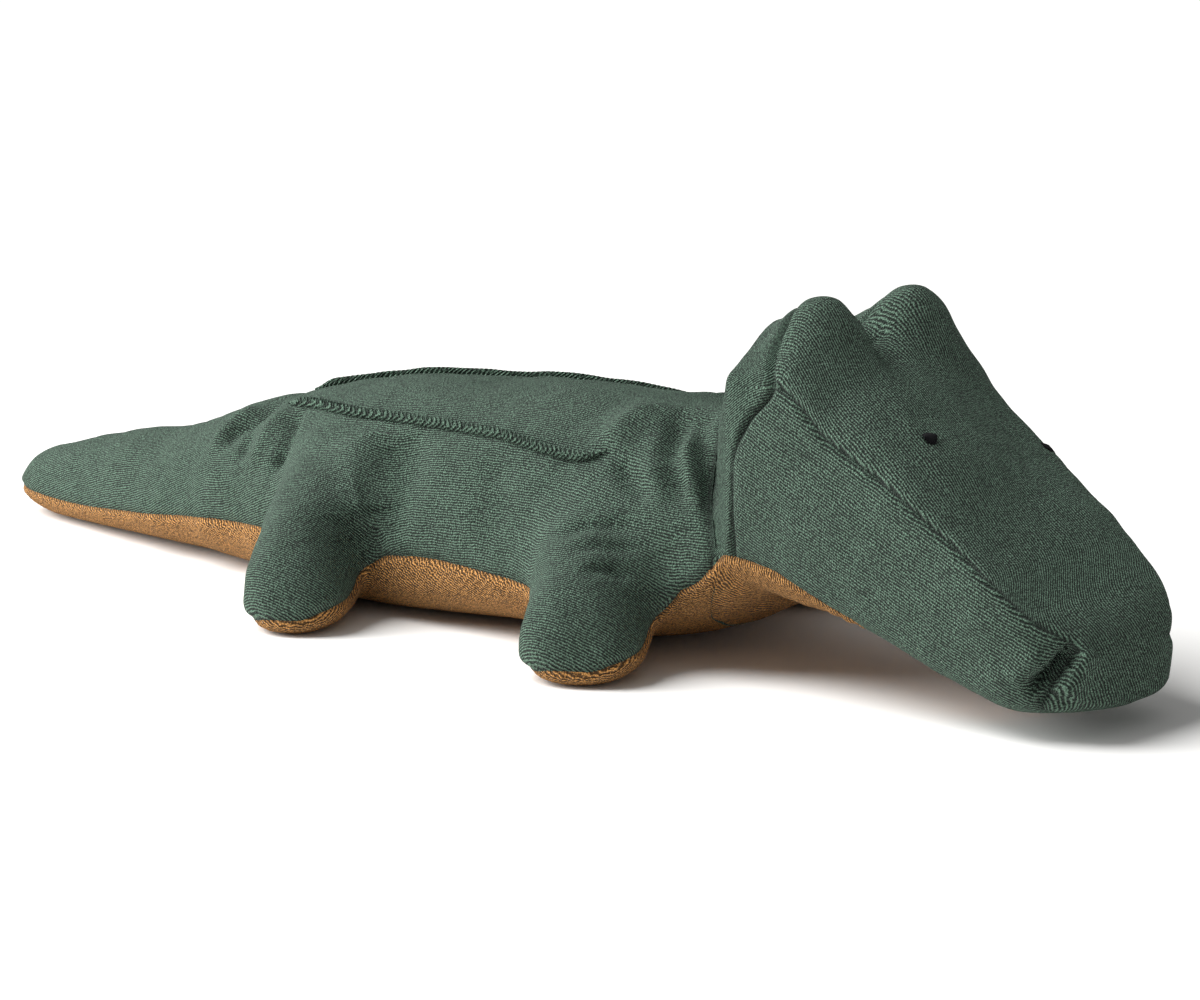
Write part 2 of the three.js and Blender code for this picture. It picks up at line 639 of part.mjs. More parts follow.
// One panel of the head: a shell of cloth over the cells of the grid that it covers, drawn back
// from its seams by a share of the clearance.
function headPanel(covers) {
  const last = headRows.length - 1;
  const count = headTurns.length;
  const wrapped = (j) => (j + count) % count;
  const turnOf = (j) => (j === count ? 6 : headTurns[j]);
  const isIn = (i, j) => (
    i >= 0 && i < last && covers((headRows[i] + headRows[i + 1]) / 2, (headTurns[j] + turnOf(j + 1)) / 2)
  );
  const middleOf = (cells, inset) => {
    const sum = new THREE.Vector3();
    for (const [a, b] of cells) {
      for (const [c, d] of [[a, b], [a + 1, b], [a, wrapped(b + 1)], [a + 1, wrapped(b + 1)]]) {
        sum.add(headAt(c, d, inset));
      }
    }
    return sum.divideScalar(4 * cells.length);
  };
  const corner = (i, j, inset) => {
    const here = headAt(i, j, inset);
    const back = wrapped(j - 1);
    const near = [[i, j], [i - 1, j], [i, back], [i - 1, back]].filter(([a]) => a >= 0 && a < last);
    const own = near.filter(([a, b]) => isIn(a, b));
    const others = near.filter(([a, b]) => !isIn(a, b));
    if (!others.length && i < last) return here;
    const from = others.length ? middleOf(others, inset) : here;
    const pull = middleOf(own, inset).sub(from).setLength(clearance * seamPullShare);
    if (i === 0) pull.y = 0;
    return here.add(pull);
  };
  const positions = [];
  const quad = (...corners) => {
    for (const n of [0, 1, 2, 0, 2, 3]) positions.push(corners[n].x, corners[n].y, corners[n].z);
  };
  for (let i = 0; i < last; i += 1) {
    for (let j = 0; j < count; j += 1) {
      if (isIn(i, j)) {
        const k = wrapped(j + 1);
        const places = [[i, j], [i + 1, j], [i + 1, k], [i, k]];
        const besides = [[i, wrapped(j - 1)], [i + 1, j], [i, k], [i - 1, j]];
        const outer = places.map(([a, b]) => corner(a, b, 0));
        const inner = places.map(([a, b]) => corner(a, b, clothThickness));
        quad(...outer);
        quad(inner[0], inner[3], inner[2], inner[1]);
        besides.forEach(([a, b], n) => {
          const next = (n + 1) % 4;
          if (a >= 0 && !isIn(a, b)) quad(outer[next], outer[n], inner[n], inner[next]);
        });
      }
    }
  }
  return closedGeometry(positions);
}

const headTurnOf = (way, turn) => (way > 0 ? turn : 6 - turn);

// An eye: a small embroidered dome on the crown panel.
function eye(name, way) {
  const offset = eyeOffset + way * eyeLean;
  const { point, normal } = surfaceAt(
    (a, b) => headPoint(a, b, 0), eyePlace, headTurnOf(way, crownTurn(eyePlace, offset)),
  );
  const outline = eyeOutlineShares.map(([r, h]) => new THREE.Vector2(eyeRadius * r, eyeThickness * h));
  const piece = mesh(name, new THREE.LatheGeometry(outline, eyeFacets), black, 0.6);
  piece.position.copy(point).addScaledVector(normal, clearance);
  piece.quaternion.setFromUnitVectors(new THREE.Vector3(0, 1, 0), normal);
  return piece;
}

// A nostril tack: the few stitches that pinch the groove at the corner of the snout.
function tack(name, way) {
  const turn = 1 + tackTurnShare;
  const { point, normal } = surfaceAt((a, b) => headPoint(a, b, 0), groove(turn), headTurnOf(way, turn));
  const bead = new THREE.SphereGeometry(1, eyeFacets, tackRings).scale(tackRadius, tackLength / 2, tackRadius);
  const piece = mesh(name, bead, black, 0.9);
  const upward = new THREE.Vector3(0, 1, 0);
  const along = new THREE.Vector3(0, 0, 1).projectOnPlane(normal).normalize();
  piece.position.copy(point).addScaledVector(normal, tackRadius + clearance);
  piece.quaternion.setFromUnitVectors(upward, along);
  return piece;
}

// The whole toy, moved so that its middle stands over the origin.
function crocodile() {
  const toy = new THREE.Group();
  const frontPlace = trunkLength - frontLegSetback;
  toy.add(trunk(), tail(), head());
  for (const [side, way] of [['right', -1], ['left', 1]]) {
    toy.add(leg(`${side}_front_leg`, way, frontPlace, frontLegLength, frontLegHalfWidth));
    toy.add(leg(`${side}_rear_leg`, way, rearLegPlace, rearLegLength, rearLegHalfWidth));
  }
  toy.updateMatrixWorld(true);
  const box = new THREE.Box3().setFromObject(toy, true);
  toy.position.x = -(box.min.x + box.max.x) / 2;
  toy.updateMatrixWorld(true);
  return toy;
}

export default crocodile();
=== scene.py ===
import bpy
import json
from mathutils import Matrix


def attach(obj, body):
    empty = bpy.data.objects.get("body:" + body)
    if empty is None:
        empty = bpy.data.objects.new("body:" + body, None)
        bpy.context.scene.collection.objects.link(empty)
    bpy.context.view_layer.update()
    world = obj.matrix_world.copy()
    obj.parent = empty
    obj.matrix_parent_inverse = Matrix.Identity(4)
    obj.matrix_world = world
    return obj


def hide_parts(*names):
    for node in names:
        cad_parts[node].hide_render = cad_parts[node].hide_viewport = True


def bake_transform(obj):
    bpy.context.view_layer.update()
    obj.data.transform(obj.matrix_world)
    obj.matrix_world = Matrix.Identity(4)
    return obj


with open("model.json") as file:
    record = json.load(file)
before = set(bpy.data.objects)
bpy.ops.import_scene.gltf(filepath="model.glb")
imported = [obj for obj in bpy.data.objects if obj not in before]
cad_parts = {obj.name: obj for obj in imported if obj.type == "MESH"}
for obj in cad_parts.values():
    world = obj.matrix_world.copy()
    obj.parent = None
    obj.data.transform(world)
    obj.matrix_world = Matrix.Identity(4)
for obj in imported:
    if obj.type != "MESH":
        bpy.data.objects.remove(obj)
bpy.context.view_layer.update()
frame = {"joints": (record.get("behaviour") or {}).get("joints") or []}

import json
import math
import bpy
import numpy as np
from mathutils import Vector, kdtree

# ---- Stuffed trunk and tail
# One long sewn tube of terry from the tail's tip to the neck, stuffed with fibre. It is widest
# between the pairs of legs and flat on the floor, and its seam runs low along both flanks.
# Sizes are millimetres, and places along the spine start at the tail's root.
MM = 0.001
joints = {joint["name"]: joint for joint in frame["joints"]}
TAIL_HINGE_BACK = 35.0
SPINE_START = joints["tail_swing"]["pos_m"][0] / MM + TAIL_HINGE_BACK
TRUNK_LENGTH, TAIL_LENGTH = 320.0, 186.5
TAIL_ROOT_HALF, TAIL_ROOT_HEIGHT, TAIL_TIP_HEIGHT, TAIL_FULLNESS = 50.0, 76.0, 13.0, 2.0
TRUNK_HALF, BACK_HEIGHT, TRUNK_SEAM = 72.0, 104.0, 27.0
NECK_HALF, NECK_HEIGHT, NECK_SHIFT, THROAT_HEIGHT, JAW_HEIGHT = 57.0, 103.0, -10.0, 30.0, 54.0
# Shares of the trunk's length: where its rear part ends, whose sizes follow from the tail's root,
# and where its back is highest. The floor presses the stuffing flat by REST_DEPTH. A section's
# power is 2 for an ellipse and more for a boxier outline.
REAR_PART, HIGHEST = .55, .62
REST_DEPTH = .5
BACK_POWER = 2.1


def curve(*pairs):
    """A smooth curve through (place, value) pairs that never overshoots them."""
    places, values = np.array(pairs, float).T
    rise = np.diff(values) / np.diff(places)
    slopes = np.zeros(len(places))
    turns = rise[:-1] * rise[1:] > 0
    slopes[1:-1][turns] = 2 * rise[:-1][turns] * rise[1:][turns] / (rise[:-1] + rise[1:])[turns]

    def at(place):
        place = np.clip(place, places[0], places[-1])
        i = np.clip(np.searchsorted(places, place, side="right") - 1, 0, len(places) - 2)
        span = places[i + 1] - places[i]
        t = (place - places[i]) / span
        start = (2 * t ** 3 - 3 * t ** 2 + 1) * values[i] + (t ** 3 - 2 * t ** 2 + t) * span * slopes[i]
        end = (3 * t ** 2 - 2 * t ** 3) * values[i + 1] + (t ** 3 - t ** 2) * span * slopes[i + 1]
        return start + end
    return at


def mix(a, b, t):
    return a + (b - a) * t


def smooth_step(value, low, high):
    t = np.clip((value - low) / (high - low), 0, 1)
    return t * t * (3 - 2 * t)


# These go by shares of the tail's length from its tip,
tail_width = curve(
    (0, 0), (.015, .13), (.05, .23), (.12, .35), (.25, .46), (.46, .62), (.65, .76), (.84, .89), (1, 1),
)
tail_top = curve(
    (0, 0), (.015, .08), (.05, .17), (.12, .29), (.25, .41), (.46, .56), (.65, .64), (.84, .83), (1, 1),
)
tail_lift = curve((0, 1), (.015, .75), (.05, .42), (.12, .15), (.2, 0), (1, 0))
tail_seam = curve((0, .48), (.25, .46), (.65, .66), (.9, .86), (1, .93))
# and these by shares of the trunk's length from the tail's root.
swell = curve((0, 0), (.14, .35), (.3, .78), (.45, 1), (.64, 1), (.8, .72), (.92, .2), (1, 0))
rear_rise = curve((0, 0), (.08, .3), (.17, .55), (.3, .77), (.45, .88), (.62, 1))
front_rise = curve((.62, 1), (.8, .9), (1, 0))
throat = curve((.72, 0), (.8, .1), (.86, .28), (.92, .58), (1, 1))
seam_rise = curve((.78, 0), (.86, .12), (.92, .42), (1, 1))
seam_level = curve((0, .93), (.12, 1), (.35, 1.03), (.48, 1.16), (.6, 1.1), (.72, 1))
neck_shift = curve((.4, 0), (.7, .25), (.9, .7), (1, 1))
belly_power = curve((-1, 1.9), (-.1, 2.1), (.1, 3.2), (.3, 4.6), (.45, 3.4), (.6, 2.3), (1, 1.8))


def body_sizes(along):
    """Sizes of the section at each place, of the tail below 0 and of the trunk above."""
    t = along / TRUNK_LENGTH
    from_tip = 1 + along / TAIL_LENGTH
    tail, rear = along < 0, t < REAR_PART
    half = mix(np.where(rear, TAIL_ROOT_HALF, NECK_HALF), TRUNK_HALF, swell(t))
    rise = np.where(t < HIGHEST, rear_rise(t), front_rise(t))
    top = mix(np.where(rear, TAIL_ROOT_HEIGHT, NECK_HEIGHT), BACK_HEIGHT, rise)
    low = mix(-REST_DEPTH, THROAT_HEIGHT, throat(t))
    seam = mix(TRUNK_SEAM * seam_level(t), JAW_HEIGHT, seam_rise(t))
    plump = TAIL_FULLNESS * tail * smooth_step(from_tip, 0, .1) * smooth_step(-from_tip, -1, -.9)
    tail_height = mix(TAIL_TIP_HEIGHT, TAIL_ROOT_HEIGHT, tail_top(from_tip))
    tail_low = mix(-REST_DEPTH, TAIL_TIP_HEIGHT, tail_lift(from_tip))
    return {
        "half": np.where(tail, TAIL_ROOT_HALF * tail_width(from_tip), half),
        "top": np.where(tail, tail_height, top) + plump,
        "low": np.where(tail, tail_low, low),
        "seam": np.where(tail, TRUNK_SEAM * tail_seam(from_tip), seam),
        "middle": np.where(tail, 0, NECK_SHIFT * neck_shift(t)),
        "power": belly_power(t),
    }


def round_section(sizes, turn):
    """Sideways and upward places round a section: 0 left seam, .5 top, 1 right seam, 1.5 bottom."""
    upper = turn <= 1
    power = 2 / np.where(upper, BACK_POWER, sizes["power"])
    angle = math.pi * turn
    across = np.sign(np.cos(angle)) * np.abs(np.cos(angle)) ** power
    rise = np.abs(np.sin(angle)) ** power
    top, low = np.maximum(sizes["top"], sizes["seam"]), np.minimum(sizes["low"], sizes["seam"])
    goal = np.where(upper, top, low)
    return sizes["half"] * across, np.maximum(mix(sizes["seam"], goal, rise), 0)


def section_turn(sizes, side, height):
    """The turn of a point round its section, the other way round."""
    upper = height >= sizes["seam"]
    power = np.where(upper, BACK_POWER, sizes["power"]) / 2
    across = np.abs(side) / np.maximum(sizes["half"], 1)
    reach = np.where(upper, sizes["top"] - sizes["seam"], sizes["seam"] - sizes["low"])
    rise = np.abs(height - sizes["seam"]) / np.maximum(reach, 1)
    angle = np.arctan2(rise ** power, across ** power) / math.pi
    turn = np.where(side > 0, angle, 1 - angle)
    return np.where(upper, turn, 2 - turn)


def placed(name, data):
    """An object of its own in the scene, at the origin."""
    item = bpy.data.objects.new(name, data)
    bpy.context.scene.collection.objects.link(item)
    return item


def closed_form(name, rings):
    """A closed mesh from rings of points in millimetres, with a fan over each end."""
    rows, columns = rings.shape[:2]
    points = np.concatenate([rings.reshape(-1, 3), [rings[0].mean(0), rings[-1].mean(0)]]) * MM
    index = np.arange(rows * columns).reshape(rows, columns)
    following = np.roll(index, -1, axis=1)
    sides = np.stack([index[:-1], index[1:], following[1:], following[:-1]], -1).reshape(-1, 4)
    start = np.stack([np.full(columns, rows * columns), index[0], following[0]], -1)
    end = np.stack([np.full(columns, rows * columns + 1), following[-1], index[-1]], -1)
    mesh = bpy.data.meshes.new(name)
    mesh.from_pydata(points.tolist(), [], sides.tolist() + start.tolist() + end.tolist())
    mesh.validate()
    return placed(name, mesh)


# The rows lie closer together over the tail's round tip, and the last ones run into the head.
TIP_ZONE, INTO_HEAD = 20.0, 22.0
tip_rows = -TAIL_LENGTH + TIP_ZONE * np.linspace(0, 1, 16) ** 1.6
body_rows = np.linspace(TIP_ZONE + 2.5 - TAIL_LENGTH, TRUNK_LENGTH + INTO_HEAD, 200)
body_rows = np.concatenate([tip_rows, body_rows])
along, turn = np.meshgrid(body_rows, np.linspace(0, 2, 144, endpoint=False), indexing="ij")
sizes = body_sizes(along)
side, height = round_section(sizes, turn)
body_rings = np.stack([along + SPINE_START, sizes["middle"] + side, height], -1)
forms = [closed_form("trunk_form", body_rings)]

# ---- Legs
# Four short stuffed paddles. The green flank runs on over them without a seam, and a tan sole is
# sewn round their edge. They point outwards and 30 degrees forwards and lie on the floor.
LEG_ROOT_HEIGHT, LEG_TIP_HEIGHT, LEG_TIP_RADIUS, LEG_ROOT_DEPTH = 72.0, 9.5, 22.5, 28.0
LEG_WIDEST, LEG_POWER, THIGH = 11.5, 2.3, 1.0
LEG_FORWARD = math.radians(30)
# The sole's seam runs low, and climbs a little at the toe and more on the forward edge.
SOLE_SEAM, TOE_RISE, FORWARD_RISE = 5.0, 2.5, 8.0
# Length and half width of each pair.
LEG_SIZES = {"rear": (72.5, 23.8), "front": (61.0, 27.0)}
leg_top = curve((-.4, 1.12), (0, 1), (.3, .84), (.58, .64), (.8, .45), (.93, .24), (1, 0))
leg_lift = curve((.86, 0), (.95, .2), (1, .5))
leg_thigh = curve((-.4, 1), (0, 1), (.35, .45), (.6, .1), (.8, 0))
leg_seam = curve((-.4, 1), (0, .95), (.28, .6), (.5, .15), (.66, 0), (.9, 0))


def leg_sizes(out, length, half_width):
    """Sizes of a leg's section, out from its hinge."""
    t = out / length
    past = np.maximum(out - (length - LEG_TIP_RADIUS), 0)
    tip_round = np.sqrt(np.maximum(LEG_TIP_RADIUS ** 2 - past ** 2, 0))
    low = mix(-REST_DEPTH, LEG_TIP_HEIGHT, leg_lift(t))
    top = mix(LEG_TIP_HEIGHT, LEG_ROOT_HEIGHT, leg_top(t))
    return {
        "half": half_width - LEG_TIP_RADIUS + tip_round + THIGH * leg_thigh(t),
        "top": top,
        "low": low,
        "seam": np.minimum(mix(LEG_WIDEST, TRUNK_SEAM, leg_seam(t)), mix(low, top, .55)),
        "power": np.full_like(t, LEG_POWER),
    }


def sole_height(out, length):
    """How high the sole's seam runs."""
    t = out / length
    return mix(SOLE_SEAM + TOE_RISE * smooth_step(t, .84, 1), TRUNK_SEAM, leg_seam(t))


def square_to(axis):
    """The level direction a quarter turn to the left of another."""
    return np.array([-axis[1], axis[0]])


class Leg:
    """One leg's side, sizes and direction, from its hinge in the frame."""

    def __init__(self, side, end):
        self.name = f"{side}_{end}_leg"
        self.way = -1 if side == "right" else 1
        self.hinge = np.array(joints[self.name + "_swing"]["pos_m"][:2]) / MM
        self.length, self.half_width = LEG_SIZES[end]
        angle = self.way * (math.pi / 2 - LEG_FORWARD)
        self.axis = np.array([math.cos(angle), math.sin(angle)])

    def place(self, points):
        """How far out along the leg each point is, how far beside its middle, and its height."""
        flat = points[..., :2] - self.hinge
        return flat @ self.axis, flat @ square_to(self.axis), points[..., 2]

    def rings(self):
        rows = mix(-LEG_ROOT_DEPTH, self.length, np.sin(np.linspace(0, math.pi / 2, 60)))
        out, turn = np.meshgrid(rows, np.linspace(0, 2, 80, endpoint=False), indexing="ij")
        side, height = round_section(leg_sizes(out, self.length, self.half_width), turn)
        flat = self.hinge + out[..., None] * self.axis + side[..., None] * square_to(self.axis)
        return np.concatenate([flat, height[..., None]], -1)


legs = [Leg(side, end) for side in ("right", "left") for end in ("front", "rear")]
forms += [closed_form(leg.name + "_form", leg.rings()) for leg in legs]

# ---- Head
# A long stuffed wedge, turned 7 degrees to its right. Its top panel carries two brow bumps and
# wraps over the square snout, a cheek panel closes each side and a tan panel the chin.
HEAD_LENGTH, HEAD_HALF, SNOUT_HALF, SNOUT_CORNER, SNOUT_HALF_AT = 166.0, 59.0, 47.0, 36.0, .8
CROWN_HEIGHT, CHEEK_HEIGHT, CHEEK_BULGE, SNOUT_TIP, CHIN_LOW = 143.0, 126.0, 3.0, 15.0, 6.0
CROWN_POWER, CHIN_POWER = 2.15, 1.8
BROW_RISE, BROW_OFFSET, BROW_REACH, BROW_PLACE, BROW_LEAN = 19.0, 29.5, 19.5, 24.5, 2.0
# The crown stands a little higher on its right between brows and snout, and the snout is fuller
# on its left.
CROWN_LEAN, FAR_FULLNESS, LEAN_GAIN = 5.0, 3.5, 2.6
HINGE_AHEAD, HINGE_RADIUS = 29.0, 66.3
HEAD_REAR = HINGE_RADIUS - HINGE_AHEAD
HEAD_TURN = math.radians(-7)
head_hinge = np.array(joints["head_turn"]["pos_m"][:2]) / MM
head_axis = np.array([math.cos(HEAD_TURN), math.sin(HEAD_TURN)])
rear_crown = curve((-1, .05), (-.8, .36), (-.54, .66), (-.27, .88), (0, .97))
crown_line = curve(
    (0, .97), (.14, 1), (.32, .88), (.52, .69), (.72, .47), (.865, .33), (.94, .26), (.98, .2), (.995, .12),
    (1, 0),
)
cheek_line = curve(
    (0, .98), (.16, 1), (.32, .83), (.42, .757), (.52, .676), (.625, .577), (.726, .485), (.82, .385),
    (.893, .3), (.958, .225), (.99, .12), (1, 0),
)
jaw_line = curve(
    (0, 1), (.23, .87), (.41, .69), (.565, .49), (.685, .27), (.774, .12), (.893, .04), (.95, 0),
)
chin_line = curve((0, 1), (.24, .86), (.41, .6), (.54, .32), (.64, .12), (.75, 0), (.85, 0))
chin_tip = curve((.82, 0), (.9, .2), (.96, .5), (.99, .76), (1, 1))
lean = curve((.2, 0), (.4, .9), (.52, 1), (.62, .7), (.75, 0))
snout_fullness = curve((.45, 0), (.62, .6), (.76, 1), (.9, 1), (1, 0))


def head_sizes(along):
    """Sizes of the head's section, ahead of the neck's end. Below 0 the head goes into the neck."""
    t = along / HEAD_LENGTH
    back = np.clip(along / HEAD_REAR, -1, 0)
    rear = along < 0
    neck = body_sizes(TRUNK_LENGTH + along)
    past = np.maximum(along - (HEAD_LENGTH - SNOUT_CORNER), 0)
    corner = np.sqrt(np.maximum(SNOUT_CORNER ** 2 - past ** 2, 0)) - SNOUT_CORNER
    front_half = mix(HEAD_HALF, SNOUT_HALF, np.minimum(t / SNOUT_HALF_AT, 1)) + corner
    full = np.where(rear, HEAD_HALF, front_half)
    reach = HINGE_RADIUS ** 2 - (along - HINGE_AHEAD) ** 2
    most = np.where(along < HINGE_AHEAD, np.sqrt(np.maximum(reach, 0)), HINGE_RADIUS)
    rear_top = mix(NECK_HEIGHT, CROWN_HEIGHT, rear_crown(back))
    rear_cheek = mix(JAW_HEIGHT, CHEEK_HEIGHT, mix(.98, .18, np.sqrt(-back)))
    chin = mix(mix(CHIN_LOW, THROAT_HEIGHT, chin_line(t)), SNOUT_TIP, chin_tip(t))
    return {
        "full": full,
        "most": most,
        "half": np.minimum(full, most),
        "crown": np.where(rear, rear_top, mix(SNOUT_TIP, CROWN_HEIGHT, crown_line(t))),
        "cheek": np.where(rear, rear_cheek, mix(SNOUT_TIP, CHEEK_HEIGHT, cheek_line(t))),
        "jaw": np.where(rear, neck["seam"], mix(SNOUT_TIP, JAW_HEIGHT, jaw_line(t))),
        "chin": np.where(rear, neck["low"], chin),
        "power": np.where(rear, neck["power"], CHIN_POWER),
    }


def brow(place, side):
    """The two brow bumps: blunt on top, and drawn out backwards."""
    beside = np.abs(side) - BROW_OFFSET - BROW_LEAN * np.sign(side)
    ahead = place - BROW_PLACE
    away = ((ahead * np.where(ahead < 0, .72, 1)) ** 2 + beside ** 2) / BROW_REACH ** 2
    return BROW_RISE * np.exp(-away ** 1.25)


def head_section(along, around):
    """Sideways and upward places round the head.

    0 is the chin, 1 the left jaw seam, 2 the left cheek seam and 3 the crown. The right side
    follows from 3 to 6 in the same steps.
    """
    size = head_sizes(along)
    v = np.minimum(around, 6 - around)
    way = np.where(around <= 3, 1, -1)
    power = 2 / size["power"]

    def chin_at(side):
        share = np.clip(side / size["full"], 0, 1)
        return mix(size["jaw"], size["chin"], np.sqrt(1 - share ** (2 / power)) ** power)
    chin_side = size["half"] * np.sin(math.pi / 2 * np.clip(v, 0, 1)) ** power
    fade = (size["cheek"] - size["jaw"]) / (CHEEK_HEIGHT - JAW_HEIGHT)
    bulge = CHEEK_BULGE * fade * np.sin(math.pi * np.clip(v - 1, 0, 1))
    cheek_side = np.minimum(size["half"] + bulge, size["most"])
    angle = math.pi / 2 * np.clip(v - 2, 0, 1)
    crown_side = size["half"] * np.cos(angle) ** (2 / CROWN_POWER)
    top = np.maximum(size["crown"], size["cheek"])
    crown = mix(size["cheek"], top, np.sin(angle) ** (2 / CROWN_POWER))
    share = crown_side / size["full"]
    t = along / HEAD_LENGTH
    leaning = FAR_FULLNESS * snout_fullness(t) * (way > 0) - way * CROWN_LEAN * lean(t)
    crown = crown + brow(along, way * crown_side) + leaning * share * (1 - share ** 2) * LEAN_GAIN
    cheek = mix(chin_at(size["half"]), size["cheek"], v - 1)
    side = np.where(v <= 1, chin_side, np.where(v <= 2, cheek_side, crown_side))
    height = np.where(v <= 1, chin_at(chin_side), np.where(v <= 2, cheek, crown))
    return way * side, np.maximum(height, 0)


def from_head(along, side, height):
    """Points in the frame from places along and beside the head's own axis."""
    ahead = (along - HINGE_AHEAD)[..., None] * head_axis
    flat = head_hinge + ahead + side[..., None] * square_to(head_axis)
    return np.concatenate([flat, height[..., None]], -1)


def to_head(points):
    """The other way round: along the head, beside its axis, and the height."""
    flat = points[..., :2] - head_hinge
    return flat @ head_axis + HINGE_AHEAD, flat @ square_to(head_axis), points[..., 2]


rear_rows = -HEAD_REAR + HEAD_REAR * (1 - np.cos(np.linspace(0, math.pi / 2, 24)))
nose_rows = HEAD_LENGTH - 12 * (1 - np.sin(np.linspace(0, math.pi / 2, 12)))
head_rows = np.concatenate([rear_rows, np.linspace(2, HEAD_LENGTH - 14, 80), nose_rows])
COLUMNS_ROUND_HEAD = (20, 20, 40, 40, 20, 20)
around_row = np.concatenate([
    np.linspace(start, start + 1, count, endpoint=False) for start, count in enumerate(COLUMNS_ROUND_HEAD)
])
along, around = np.meshgrid(head_rows, around_row, indexing="ij")
side, height = head_section(along, around)
forms.append(closed_form("head_form", from_head(along, side, height)))

# ---- Stuffed hide
# The forms are drawn together into one skin, as the sewn cloth is: a fine even net over all of them, softened
# a little all over and most where the legs grow out of the flank.
NET_SPACING = 2.2
ROOT_REACH, ROOT_SOFTENING = .5, .6


def evaluated(source, name):
    """The mesh that an object shows with its modifiers."""
    result = bpy.data.meshes.new_from_object(source.evaluated_get(bpy.context.evaluated_depsgraph_get()))
    result.name = name
    return result


def arrays(mesh):
    """A mesh's points in millimetres and its edges."""
    points = np.empty(len(mesh.vertices) * 3)
    mesh.vertices.foreach_get("co", points)
    edges = np.empty(len(mesh.edges) * 2, int)
    mesh.edges.foreach_get("vertices", edges)
    return points.reshape(-1, 3) / MM, edges.reshape(-1, 2)


def relaxed(points, edges, weight, rounds):
    """Each point drawn towards its neighbours, as much as its weight says."""
    size = len(points)
    count = np.bincount(edges.ravel(), minlength=size)[:, None]
    a, b = edges.T
    for _ in range(rounds):
        sums = [np.bincount(a, row[b], size) + np.bincount(b, row[a], size) for row in points.T]
        total = np.stack(sums, -1)
        points = points + (total / count - points) * weight[:, None]
    return points


def section_level(size, side, height):
    """How far out of a section a point is: 1 on its outline."""
    upper = height >= size["seam"]
    power = np.where(upper, BACK_POWER, size["power"])
    reach = np.maximum(np.where(upper, size["top"] - size["seam"], size["seam"] - size["low"]), 1)
    across = np.abs(side) / np.maximum(size["half"], 1)
    return (across ** power + (np.abs(height - size["seam"]) / reach) ** power) ** (1 / power)


def leg_level(leg, points):
    """The same for a leg, and far out beyond its two ends."""
    out, side, height = leg.place(points)
    size = leg_sizes(np.clip(out, -LEG_ROOT_DEPTH, leg.length), leg.length, leg.half_width)
    within = (out > -LEG_ROOT_DEPTH) & (out < leg.length)
    return np.where(within, section_level(size, side, height), 9)


bpy.context.view_layer.update()
joined = forms[0]
with bpy.context.temp_override(
    active_object=joined, object=joined, selected_objects=forms, selected_editable_objects=forms,
):
    bpy.ops.object.join()
remesh = joined.modifiers.new("net", "REMESH")
remesh.mode, remesh.voxel_size, remesh.use_smooth_shade = "VOXEL", NET_SPACING * MM, True
coarse = evaluated(joined, "hide_net")
joined.modifiers.clear()
points, edges = arrays(coarse)
points = relaxed(points, edges, np.full(len(points), .5), 3)

# The net is softened most where a leg's surface meets the trunk's, and not near the floor.
trunk = body_sizes(points[:, 0] - SPINE_START)
outside = section_level(trunk, points[:, 1] - trunk["middle"], points[:, 2])
for leg in legs:
    away = ((outside - 1) ** 2 + (leg_level(leg, points) - 1) ** 2) / ROOT_REACH ** 2
    high = smooth_step(points[:, 2], 14, 34)
    points = relaxed(points, edges, ROOT_SOFTENING * np.exp(-away) * high, 120)
points[:, 2] = np.maximum(points[:, 2], 0)

coarse.vertices.foreach_set("co", (points * MM).ravel())
joined.data = coarse
subdivide = joined.modifiers.new("finer", "SUBSURF")
subdivide.levels = subdivide.render_levels = 1
fine = evaluated(joined, "hide_fine")
bpy.data.objects.remove(joined)
points, edges = arrays(fine)

# ---- Folds and stuffing
# Loose cloth lies in soft folds: over the tail's root, ahead of the haunch, over the shoulder, at
# the neck and round the pinched corner of the snout. The fibre inside is a little lumpy.
def skin_tree(points):
    """A lookup of the skin's points by their places."""
    tree = kdtree.KDTree(len(points))
    for number, point in enumerate(points):
        tree.insert(point, number)
    tree.balance()
    return tree


def nearest(tree, places):
    return [tree.find(place)[1] for place in places]


def smoothed(line, rounds):
    """A line with its bends rounded and its ends kept."""
    for _ in range(rounds):
        line[1:-1] = (line[:-2] + 2 * line[1:-1] + line[2:]) / 4
    return line


def along_line(corners, step=1.0):
    """Points every step along a line through some corners, and their shares of its length."""
    corners = np.array(corners, float)
    lengths = np.concatenate([[0], np.cumsum(np.linalg.norm(np.diff(corners, axis=0), axis=1))])
    count = max(int(lengths[-1] / step), 1) + 1
    at = np.linspace(0, lengths[-1], count)
    line = np.stack([np.interp(at, lengths, corners[:, k]) for k in range(3)], -1)
    return smoothed(line, 6), at / max(lengths[-1], 1)


